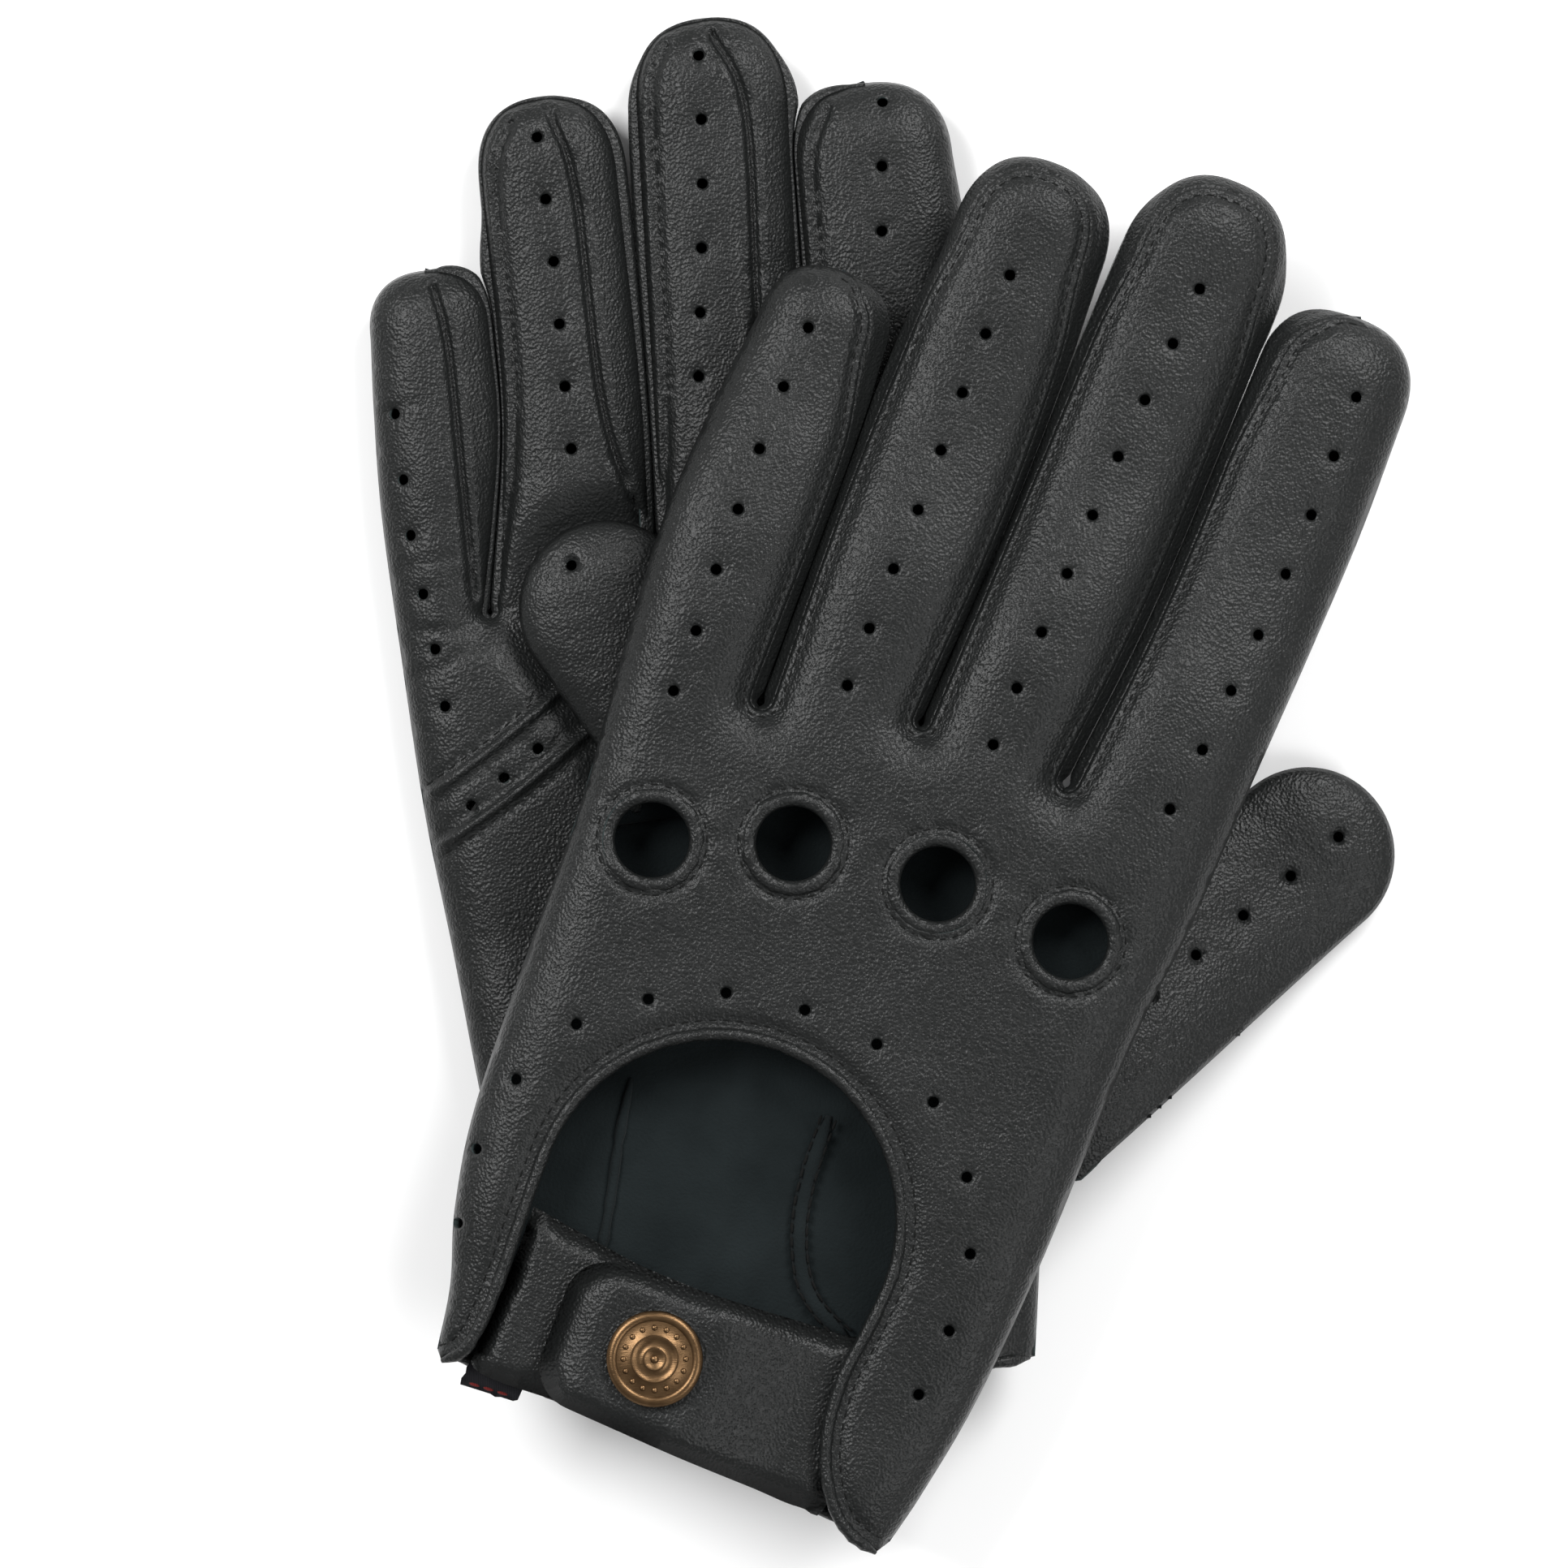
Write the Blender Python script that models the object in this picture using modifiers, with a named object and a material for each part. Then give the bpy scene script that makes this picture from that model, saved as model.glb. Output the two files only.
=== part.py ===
"""A pair of leather driving gloves, laid one on the other.

The right glove lies palm up on the table. The left glove lies on it, back up and turned
clockwise. Lengths below are in millimetres in each glove's own plan: x points to the thumb
side, y to the fingertips, and depth z is 0 halfway through the glove. The back of the hand
is at +z and the palm at -z. place() turns a glove's own point into the scene's metres.
"""

import math

import bmesh
import bpy
from mathutils import Matrix, Vector
from mathutils.geometry import delaunay_2d_cdt

MM = 0.001
GAP = 0.3

# Leather and the body of the glove
LEATHER = 1.2
HAND_HALF_DEPTH = 6.0
EDGE_ROUND = 8.0
OPEN_RIM = 0.1
OPEN_RIM_DEPTH = 1.2
SEAM_RIM = 1.6
FOLD_RING = 1.9
OUTLINE_STEP = 8.0
PANEL_GRID = 12.0
FOURCHETTE_HALF_DEPTH = 3.6

# Knuckle holes, keyhole and its rolled edge
KNUCKLE_HOLES = ((-37.8, -8.0), (-16.0, -0.3), (8.4, 2.0), (32.0, 1.0))
KNUCKLE_RADIUS = 6.4
RIM_RADIUS = 1.2
RIM_CLEARANCE = 0.9
KEYHOLE_CENTRE = (-5.7, -62.0)
KEYHOLE_RADIUS = 30.2
KEYHOLE_STEP = 6.5
KEYHOLE_LEFT = ((-39.4, -100.0), (-36.6, -97.0), (-35.5, -91.0), (-35.3, -83.0), (-35.7, -73.0))
KEYHOLE_RIGHT = ((23.9, -70.0), (22.9, -78.0), (23.3, -86.0), (25.3, -93.0), (29.0, -99.0),
                 (33.0, -102.2), (38.2, -103.8))
BINDING_RADIUS = 1.4
BINDING_DEPTH = 4.6
BINDING_CLEARANCE = 1.1

# Wrist strap and its snap
STRAP_LEATHER = 1.5
FLAP_LEATHER = 1.3
SNAP_CENTRE = (-7.0, -86.8)
SHANK_HOLE = 1.7
FLAP_TOP = 3.1
STRAP_ROOT_TOP = 2.8
STRAP_SNAP_TOP = 7.9
STRAP_TIP_DROP = 1.8
HINGE_X = 19.3
HINGE_Y = -86.5
HINGE_DEPTH = 5.5
STRAP_SPLIT = 15.7
CAP_TOP = 9.6

# Thumb
THUMB_TIP_RADIUS = 14.6
THUMB_ROOT_RADIUS = 17.0
THUMB_INNER_START = 0.34
THUMB_MID_DEPTH = 6.8
THUMB_OUTER_HALF = 4.0
THUMB_INNER_HALF = 3.0
THUMB_SEAM_HALF = 1.6
PALM_DENT = 2.5
THUMB_HOLE_RADIUS = 8.0

# Palm band and hem
BAND_START = (-43.5, -9.0)
BAND_STANDOFF = 0.8
BAND_TURN = math.radians(33.0)
BAND_LENGTH = 17.0
BAND_WIDTH = 8.6
BAND_LEATHER = 0.9
HEM_WIDTH = 8.0
HEM_LEATHER = 0.8

DARK_LEATHER = (0.030, 0.032, 0.031)
DARK_SUEDE = (0.020, 0.030, 0.030)
ANTIQUE_BRASS = (0.33, 0.22, 0.10)
LABEL_CLOTH = (0.01, 0.01, 0.012)


class Glove:
    """One glove's pattern and where it lies."""

    def __init__(self, name, origin, turn, back, wrist, outer, fingers, thumb_side, thumb):
        self.name = name
        self.origin = origin
        self.turn = math.radians(turn)
        self.back = back  # +1 where the back of the hand is up, -1 where the palm is
        self.wrist = wrist
        self.outer = outer
        self.fingers = fingers
        self.thumb_side = thumb_side
        self.thumb = thumb
        self.edge, self.spans = silhouette(self)
        self.edge_normals = inward(self.edge)

    def plan(self, x, y):
        """A point of the glove's own plan in the scene's plan, in millimetres."""
        c, s = math.cos(self.turn), math.sin(self.turn)
        return self.origin[0] + c * x - s * y, self.origin[1] + s * x + c * y

    def lift(self, x, y):
        """Height of the glove's middle surface above the table."""
        if self.back < 0:
            return 6.0 + 3.6 * ease((-25.0 - y) / 45.0)
        across = self.plan(x, y)[0]
        return 26.4 - 4.6 * ease((y - 40.0) / 40.0) - 6.0 * ease((across - 25.0) / 65.0)

    def place(self, x, y, z):
        px, py = self.plan(x, y)
        return Vector((px * MM, py * MM, (self.lift(x, y) + self.back * z) * MM))


def ease(t):
    """0 below 0, 1 above 1, and a smooth step between."""
    t = min(max(t, 0.0), 1.0)
    return t * t * (3 - 2 * t)


def smooth(points, step):
    """Points about every step along a smooth curve through the given ones."""
    first, last = Vector(points[0]), Vector(points[-1])
    knots = [2 * first - Vector(points[1]), *map(Vector, points), 2 * last - Vector(points[-2])]
    made = []
    for p0, p1, p2, p3 in zip(knots, knots[1:], knots[2:], knots[3:]):
        count = max(1, round((p2 - p1).length / step))
        for i in range(count):
            t = i / count
            made.append(tuple(0.5 * (2 * p1 + t * (p2 - p0) + t * t * (2 * p0 - 5 * p1 + 4 * p2 - p3)
                                     + t * t * t * (3 * p1 - p0 - 3 * p2 + p3))))
    return made + [tuple(last)]


def tip_arc(finger, start, end, count=5):
    """Part of a fingertip's round end; 180 degrees is its left side and 90 its apex."""
    (x, y), half, height = finger["tip"], finger["half"], finger["height"]
    made = []
    for i in range(count + 1):
        a = math.radians(start + (end - start) * i / count)
        square = 2 / 2.4
        across = math.copysign(abs(math.cos(a)) ** square, math.cos(a))
        made.append((x + half * across, y + height * abs(math.sin(a)) ** square))
    return made


def silhouette(glove):
    """The outline from the little finger's side of the wrist round to the thumb's, and its spans.

    A span is (name, first, last): the indices of a stretch of the outline. The two folded sides of
    the hand end in _fold, and the others are the fingers' sides, which carry the fourchettes.
    """
    first, last = glove.fingers[0], glove.fingers[-1]
    fold = smooth([*glove.outer, tip_arc(first, 180, 90)[0]], OUTLINE_STEP)
    runs = [("outer_fold", fold[:-1] + tip_arc(first, 180, 90))]
    for left, right in zip(glove.fingers, glove.fingers[1:]):
        down = smooth([tip_arc(left, 90, 0)[-1], *left["inner"]], OUTLINE_STEP)
        up = smooth([*right["outer"], tip_arc(right, 180, 90)[0]], OUTLINE_STEP)
        crotch = crotch_arc(left["inner"][-1], right["outer"][0])
        runs.append((left["name"] + "_inner", tip_arc(left, 90, 0)[:-1] + down + crotch[:2]))
        runs.append((right["name"] + "_outer", crotch[1:] + up[:-1] + tip_arc(right, 180, 90)))
    side = smooth([tip_arc(last, 90, 0)[-1], *glove.thumb_side], OUTLINE_STEP)
    runs.append(("thumb_fold", tip_arc(last, 90, 0)[:-1] + side))
    edge, spans = [], []
    for name, run in runs:
        spans.append((name, len(edge), len(edge) + len(run) - 1))
        edge += run[:-1]
    return edge + [runs[-1][1][-1]], spans


def crotch_arc(left, right, count=4):
    """The round bottom of the slit between two fingers."""
    a, b = Vector(left), Vector(right)
    middle, half = (a + b) / 2, (b - a).length / 2
    return [(middle.x - half * math.cos(t), middle.y - half * math.sin(t))
            for t in (math.pi * i / count for i in range(1, count))]


def inward(points):
    """Unit normals that point right of the direction of travel, into the leather."""
    made = []
    for i in range(len(points)):
        along = Vector(points[min(i + 1, len(points) - 1)]) - Vector(points[max(i - 1, 0)])
        along.normalize()
        made.append(Vector((along.y, -along.x)))
    return made


def offset(points, distance):
    return [tuple(Vector(p) + n * distance) for p, n in zip(points, inward(points))]


def moved_in(glove, first, last, distance):
    """A stretch of the outline moved into the leather."""
    return [tuple(Vector(glove.edge[i]) + glove.edge_normals[i] * distance) for i in range(first, last + 1)]


def panel_edge(glove):
    """The outline of a panel: at the outline on the folds, and inside the fourchettes elsewhere.

    Also the guide lines that keep the folds' steep sides smooth.
    """
    rims, guides = [OPEN_RIM] * len(glove.edge), []
    for name, first, last in glove.spans:
        if name.endswith("_fold"):
            guides.append(moved_in(glove, first + 2, last - 2, FOLD_RING))
        else:
            rims[first:last + 1] = [SEAM_RIM] * (last + 1 - first)
    return [moved_in(glove, i, i, rim)[0] for i, rim in enumerate(rims)], guides


def distance_to(points, x, y):
    """Least distance from a point to an open line of points."""
    best = 1e9
    for (ax, ay), (bx, by) in zip(points, points[1:]):
        dx, dy = bx - ax, by - ay
        t = ((x - ax) * dx + (y - ay) * dy) / (dx * dx + dy * dy + 1e-12)
        t = min(max(t, 0.0), 1.0)
        best = min(best, math.hypot(x - ax - t * dx, y - ay - t * dy))
    return best


def inside(loop, x, y):
    found = False
    for (ax, ay), (bx, by) in zip(loop, loop[1:] + loop[:1]):
        if (ay > y) != (by > y) and x < (bx - ax) * (y - ay) / (by - ay) + ax:
            found = not found
    return found


def crown(distance):
    """Share of the full half depth at this distance from the edge: a quarter ellipse."""
    return math.sqrt(1 - (1 - min(distance / EDGE_ROUND, 1.0)) ** 2)


def circle(centre, radius, count=14):
    return [(centre[0] + radius * math.cos(math.tau * i / count),
             centre[1] + radius * math.sin(math.tau * i / count)) for i in range(count)]


def back_depth(glove, x, y):
    return HAND_HALF_DEPTH * crown(distance_to(glove.edge, x, y))


def thumb_share(glove, x, y):
    """How far along the thumb a point lies: 0 at the root's centre, 1 at the tip's."""
    root, tip = Vector(glove.thumb["root"]), Vector(glove.thumb["tip"])
    return (Vector((x, y)) - root).dot(tip - root) / (tip - root).length_squared


def palm_depth(glove, x, y):
    """The palm's outer face, pressed in under the thumb."""
    reach = distance_to([glove.thumb["root"], glove.thumb["tip"]], x, y)
    dent = PALM_DENT * (1 - ease((reach - 13.0) / 9.0))
    return -(HAND_HALF_DEPTH - dent) * crown(distance_to(glove.edge, x, y))


def material(name, colour, roughness, metallic=0.0):
    made = bpy.data.materials.get(name)
    if made is None:
        made = bpy.data.materials.new(name)
        made.use_nodes = True
        shader = made.node_tree.nodes["Principled BSDF"]
        shader.inputs["Base Color"].default_value = (*colour, 1.0)
        shader.inputs["Roughness"].default_value = roughness
        shader.inputs["Metallic"].default_value = metallic
        made.diffuse_color = (*colour, 1.0)
    return made


def leather():
    return material("dark_leather", DARK_LEATHER, 0.5)


def brass():
    return material("antique_brass", ANTIQUE_BRASS, 0.35, 1.0)


def add_mesh(name, points, faces, finish):
    mesh = bpy.data.meshes.new(name)
    mesh.from_pydata(points, [], faces)
    mesh.materials.append(finish)
    part = bpy.data.objects.new(name, mesh)
    PARTS.objects.link(part)
    return part


def mesh_facing_out(part):
    work = bmesh.new()
    work.from_mesh(part.data)
    bmesh.ops.recalc_face_normals(work, faces=work.faces)
    work.to_mesh(part.data)
    work.free()


def grid_points(loop, holes, keep_off, spacing):
    """An even triangular grid of points inside loop, clear of it and of the holes."""
    xs, ys = [p[0] for p in loop], [p[1] for p in loop]
    lines = [loop + loop[:1], *(hole + hole[:1] for hole in holes)]
    made = []
    row, y = 0, min(ys) + spacing / 2
    while y < max(ys):
        x = min(xs) + spacing * (0.5 if row % 2 else 0.0)
        while x < max(xs):
            clear = all(distance_to(line, x, y) > keep_off for line in lines)
            if clear and inside(loop, x, y) and not any(inside(hole, x, y) for hole in holes):
                made.append((x, y))
            x += spacing
        row, y = row + 1, y + spacing * 0.87
    return made


def sheet(name, glove, loop, depth, side, thickness, finish, holes=(), rings=(), spacing=PANEL_GRID):
    """A panel of leather: loop's area less holes, draped on depth(x, y) and thickened inwards.

    side is +1 for a face towards the back of the hand, -1 for one towards the palm.
    """
    lines = [(loop, True), *((hole, True) for hole in holes), *((ring, False) for ring in rings)]
    flat, bonds = [], []
    for line, closed in lines:
        first = len(flat)
        flat += line
        count = len(line)
        bonds += [(first + i, first + (i + 1) % count) for i in range(count if closed else count - 1)]
    keep_off = spacing * 0.45
    flat += [p for p in grid_points(loop, holes, keep_off, spacing)
             if all(distance_to(ring, *p) > keep_off for ring in rings)]
    cut = delaunay_2d_cdt([Vector(p) for p in flat], bonds, [], 0, 1e-5)
    points, faces = [tuple(p) for p in cut[0]], []
    for face in cut[2]:
        x = sum(points[i][0] for i in face) / 3
        y = sum(points[i][1] for i in face) / 3
        if inside(loop, x, y) and not any(inside(hole, x, y) for hole in holes):
            faces.append(tuple(face) if side * glove.back > 0 else tuple(reversed(face)))
    used = sorted({i for face in faces for i in face})
    place = {old: new for new, old in enumerate(used)}
    points = [glove.place(x, y, depth(x, y)) for x, y in (points[i] for i in used)]
    part = add_mesh(name, points, [tuple(place[i] for i in face) for face in faces], finish)
    part.data.shade_smooth()
    solid = part.modifiers.new("thickness", "SOLIDIFY")
    solid.thickness = thickness * MM
    solid.offset = -1
    return part


def wall(name, glove, first, last, finish):
    """A fourchette: a strip of leather on edge that follows a finger's side."""
    outer = shortened(moved_in(glove, first, last, OPEN_RIM), GAP)
    inner = shortened(moved_in(glove, first, last, SEAM_RIM - GAP), GAP)
    section = ((outer, -1), (outer, 1), (inner, 1), (inner, -1))
    points, faces = [], []
    for i in range(len(outer)):
        points += [glove.place(*edge[i], up * FOURCHETTE_HALF_DEPTH) for edge, up in section]
    for i in range(len(outer) - 1):
        for k in range(4):
            a, b = 4 * i + k, 4 * i + (k + 1) % 4
            faces.append((a, b, b + 4, a + 4))
    last = len(points) - 4
    faces += [(3, 2, 1, 0), (last, last + 1, last + 2, last + 3)]
    part = add_mesh(name, points, faces, finish)
    mesh_facing_out(part)
    return part


def shortened(line, cut):
    """The line with its two ends trimmed back, so that two walls that meet end to end keep a gap."""
    a, b, y, z = (Vector(line[i]) for i in (0, 1, -2, -1))
    start = a + (b - a).normalized() * cut
    end = z + (y - z).normalized() * cut
    return [tuple(start), *line[1:-1], tuple(end)]


def keyhole_line(step):
    """The rolled edge's centre line, from the little finger's side of the wrist to the thumb's."""
    cx, cy = KEYHOLE_CENTRE
    arch = [(cx - KEYHOLE_RADIUS * math.cos(a), cy + KEYHOLE_RADIUS * math.sin(a))
            for a in (math.pi * i / 10 for i in range(11))]
    return smooth([*KEYHOLE_LEFT, *arch, *KEYHOLE_RIGHT], step)


def back_panel(glove):
    """The back of the hand and the fingers' backs, with the keyhole and four knuckle holes."""
    loop, rings = panel_edge(glove)
    line = keyhole_line(KEYHOLE_STEP)
    edge = [tuple(Vector(p) - n * (BINDING_RADIUS + BINDING_CLEARANCE)) for p, n in zip(line, inward(line))]
    loop += [p for p in reversed(edge) if inside(glove.edge, *p)]
    holes = [circle(c, KNUCKLE_RADIUS + 2 * RIM_RADIUS + RIM_CLEARANCE) for c in KNUCKLE_HOLES]
    sheet(glove.name + "_back_panel", glove, loop,
          lambda x, y: max(back_depth(glove, x, y), OPEN_RIM_DEPTH), 1, LEATHER, leather(), holes, rings)


def palm_panel(glove):
    """The palm and the fingers' fronts, with the hole that the thumb is sewn into."""
    loop, rings = panel_edge(glove)
    start, end = glove.edge[-1], glove.edge[0]
    loop += smooth([(start[0] - 1.0, start[1]), ((start[0] + end[0]) / 2, glove.wrist), (end[0] + 1.0, end[1])],
                   OUTLINE_STEP)
    hole = circle(glove.thumb["hole"], THUMB_HOLE_RADIUS)
    sheet(glove.name + "_palm_panel", glove, loop,
          lambda x, y: min(palm_depth(glove, x, y), -OPEN_RIM_DEPTH), -1, LEATHER, leather(), [hole], rings)


def fourchettes(glove):
    for name, first, last in glove.spans:
        if not name.endswith("_fold"):
            wall(f"{glove.name}_{name}_fourchette", glove, first, last, leather())


def thumb_outline(glove, start=None):
    """The thumb's plan: round at both ends, or cut straight across at a share of its length."""
    root, tip = Vector(glove.thumb["root"]), Vector(glove.thumb["tip"])
    along = (tip - root).normalized()
    across = Vector((along.y, -along.x))

    def point(centre, radius, degrees):
        a = math.radians(degrees)
        return tuple(centre + (across * math.cos(a) + along * math.sin(a)) * radius)

    made = [point(tip, THUMB_TIP_RADIUS, a) for a in range(0, 181, 20)]
    if start is None:
        return made + [point(root, THUMB_ROOT_RADIUS, a) for a in range(180, 361, 20)]
    middle = root.lerp(tip, start)
    radius = THUMB_ROOT_RADIUS + (THUMB_TIP_RADIUS - THUMB_ROOT_RADIUS) * start
    return made + [point(middle, radius, 180), point(middle, radius, 0)]


def thumb_panels(glove):
    """The thumb's outer half, which covers its root, and the inner half that faces the palm."""
    outline = thumb_outline(glove)
    edge = outline + outline[:1]

    def middle(x, y):
        return -THUMB_MID_DEPTH - glove.thumb["droop"] * ease(thumb_share(glove, x, y))

    def outer_depth(x, y):
        full = THUMB_OUTER_HALF * (0.55 + 0.45 * ease(thumb_share(glove, x, y) / 0.5))
        return middle(x, y) - max(full * crown(distance_to(edge, x, y)), THUMB_SEAM_HALF)

    def inner_depth(x, y):
        return middle(x, y) + max(THUMB_INNER_HALF * crown(distance_to(edge, x, y)), THUMB_SEAM_HALF)

    whole = smooth(edge, OUTLINE_STEP)[:-1]
    whole.reverse()
    ring = offset(whole + whole[:1], FOLD_RING)[:-1]
    sheet(glove.name + "_thumb_outer", glove, whole, outer_depth, -1, LEATHER, leather(), rings=[ring])
    short = thumb_outline(glove, THUMB_INNER_START)
    short.reverse()
    sheet(glove.name + "_thumb_inner", glove, short, inner_depth, 1, LEATHER, leather())


def knuckle_rims(glove):
    """The rolled edge of each knuckle hole, a ring draped on the back of the hand."""
    names = ("little", "ring", "middle", "index")
    for name, (x, y) in zip(names, KNUCKLE_HOLES):
        bpy.ops.mesh.primitive_torus_add(major_radius=KNUCKLE_RADIUS + RIM_RADIUS, minor_radius=RIM_RADIUS,
                                         major_segments=16, minor_segments=5)
        ring = bpy.context.object
        points = [(x + v.co.x, y + v.co.y, v.co.z) for v in ring.data.vertices]
        faces = [tuple(f.vertices) for f in ring.data.polygons]
        bpy.data.objects.remove(ring)
        draped = [glove.place(px, py, pz + back_depth(glove, px, py) - RIM_RADIUS) for px, py, pz in points]
        mesh_facing_out(add_mesh(f"{glove.name}_{name}_knuckle_rim", draped, faces, leather()))


def keyhole_binding(glove):
    """The rolled edge of the keyhole, a thin roll of leather from one wrist corner to the other."""
    curve = bpy.data.curves.new(glove.name + "_keyhole_binding", "CURVE")
    curve.dimensions = "3D"
    curve.bevel_depth = BINDING_RADIUS * MM
    curve.bevel_resolution = 1
    curve.use_fill_caps = True
    line = keyhole_line(KEYHOLE_STEP)
    spline = curve.splines.new("POLY")
    spline.points.add(len(line) - 1)
    for point, (x, y) in zip(spline.points, line):
        z = min(BINDING_DEPTH, max(2.2, back_depth(glove, x, y) - BINDING_RADIUS))
        point.co = (*glove.place(x, y, z), 1.0)
    curve.materials.append(leather())
    PARTS.objects.link(bpy.data.objects.new(glove.name + "_keyhole_binding", curve))


def strap_top(x):
    """Outer face of the strap: it climbs from under the wing to the snap and dips at its end."""
    rise = (STRAP_SNAP_TOP - STRAP_ROOT_TOP) * ease((HINGE_X - x) / 20.0)
    return STRAP_ROOT_TOP + rise - STRAP_TIP_DROP * ease((-16.0 - x) / 8.0)


def flap_top(x):
    return FLAP_TOP + (STRAP_ROOT_TOP - FLAP_TOP) * ease((-18.0 - x) / 12.0)


def strap_pieces(glove):
    """The flap that carries the stud, the tab that snaps onto it and the tab's sewn root."""
    flap = [(-32.8, -71.0), (-16.0, -73.6), (2.0, -75.4), (2.6, -86.0), (2.0, -97.2), (-16.0, -97.6),
            (-31.6, -98.6), (-33.2, -95.0), (-32.9, -84.0)]
    sheet(glove.name + "_strap_flap", glove, flap[::-1], lambda x, y: flap_top(x), 1, FLAP_LEATHER,
          leather(), [circle(SNAP_CENTRE, SHANK_HOLE, 10)], spacing=8.0)
    end = [(-24.5 + 7 - 7 * math.cos(a), -81.6 + 7 * math.sin(a)) for a in (math.pi * i / 8 for i in range(5))]
    foot = [(-24.5 + 7 - 7 * math.sin(a), -90.6 - 7 * math.cos(a)) for a in (math.pi * i / 8 for i in range(5))]
    tab = [*foot, *end, (-8.0, -73.9), (4.0, -73.2), (STRAP_SPLIT, -72.4), (STRAP_SPLIT, -86.0),
           (STRAP_SPLIT, -100.8), (6.0, -99.9), (-6.0, -98.9)]
    sheet(glove.name + "_strap_tab", glove, tab[::-1], lambda x, y: strap_top(x), 1, STRAP_LEATHER,
          leather(), [circle(SNAP_CENTRE, SHANK_HOLE, 10)], spacing=7.0)
    root = [(STRAP_SPLIT + 0.4, -72.4), (28.0, -72.0), (28.0, -98.2), (STRAP_SPLIT + 0.4, -98.6)]
    sheet(glove.name + "_strap_root", glove, root[::-1], lambda x, y: strap_top(x), 1, STRAP_LEATHER,
          leather(), spacing=7.0)


def turned(name, glove, profile, finish):
    """A turned piece on the snap's axis. The profile is (radius, depth) in the glove's own depth."""
    points = [(r * MM, 0.0, z * MM) for r, z in profile]
    closed = profile[0] == profile[-1]
    count = len(points) - 1 if closed else len(points)
    edges = [(i, (i + 1) % count) for i in range(count if closed else count - 1)]
    mesh = bpy.data.meshes.new(name)
    mesh.from_pydata(points[:count], edges, [])
    mesh.materials.append(finish)
    part = bpy.data.objects.new(name, mesh)
    PARTS.objects.link(part)
    x, y = glove.plan(*SNAP_CENTRE)
    part.location = (x * MM, y * MM, glove.lift(*SNAP_CENTRE) * MM)
    if glove.back < 0:
        part.rotation_euler = (math.pi, 0.0, 0.0)
    screw = part.modifiers.new("turn", "SCREW")
    screw.axis = "Z"
    screw.steps = screw.render_steps = 20
    screw.use_merge_vertices = True
    screw.merge_threshold = 0.00001
    screw.use_smooth_shade = False


def snap(glove):
    """Cap and socket ride on the tab, stud and washer on the flap."""
    turned(glove.name + "_snap_cap", glove,
           [(0, CAP_TOP), (6.9, CAP_TOP), (7.6, CAP_TOP - 0.3), (7.9, CAP_TOP - 0.8), (7.6, 8.2), (1.2, 8.2),
            (1.2, 6.5), (0, 6.5)], brass())
    turned(glove.name + "_snap_socket", glove,
           [(0, 6.1), (5.0, 6.1), (5.4, 5.7), (5.4, 4.5), (5.1, 4.2), (2.8, 4.2), (2.8, 5.75), (0, 5.75)], brass())
    turned(glove.name + "_snap_stud", glove,
           [(0, 5.4), (1.9, 5.4), (2.4, 5.0), (2.4, 4.5), (2.1, 3.9), (4.2, 3.9), (4.2, 3.4), (1.2, 3.4),
            (1.2, 0.9), (0, 0.9)], brass())
    turned(glove.name + "_snap_washer", glove,
           [(1.6, 1.5), (4.2, 1.5), (4.2, 0.9), (1.6, 0.9), (1.6, 1.5)], brass())


def palm_band(glove):
    """The strip sewn across the palm from the little finger's side to the thumb."""
    along = Vector((math.cos(BAND_TURN), math.sin(BAND_TURN)))
    across = Vector((-along.y, along.x))
    start = Vector(BAND_START)
    corners = []
    for share, side in ((0, -1), (0.5, -1), (1, -1), (1, 1), (0.5, 1), (0, 1)):
        corners.append(tuple(start + along * share * BAND_LENGTH + across * side * BAND_WIDTH / 2))
    sheet(glove.name + "_palm_band", glove, corners,
          lambda x, y: palm_depth(glove, x, y) - BAND_STANDOFF - BAND_LEATHER, -1, BAND_LEATHER, leather(), spacing=7.0)


def palm_hem(glove):
    """The hem inside the palm's wrist edge."""
    left, right = -28.0, 28.0
    low = glove.wrist + 0.6
    corners = [(left, low), (0.0, low), (right, low), (right, low + HEM_WIDTH), (0.0, low + HEM_WIDTH),
               (left, low + HEM_WIDTH)]
    sheet(glove.name + "_palm_hem", glove, corners,
          lambda x, y: palm_depth(glove, x, y) + LEATHER + GAP, -1, HEM_LEATHER, leather(), spacing=9.0)


def label(glove):
    """A small plain woven label that shows past the hem."""
    corners = [(-27.0, -103.8), (-18.0, -103.8), (-18.0, -95.0), (-27.0, -95.0)]
    depth = -HAND_HALF_DEPTH + LEATHER + GAP + HEM_LEATHER + GAP
    sheet(glove.name + "_label", glove, corners, lambda x, y: depth, -1, 0.5,
          material("label_cloth", LABEL_CLOTH, 0.8), spacing=9.0)


def finger(name, tip, half, height, outer=(), inner=()):
    return {"name": name, "tip": tip, "half": half, "height": height, "outer": outer, "inner": inner}


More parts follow.
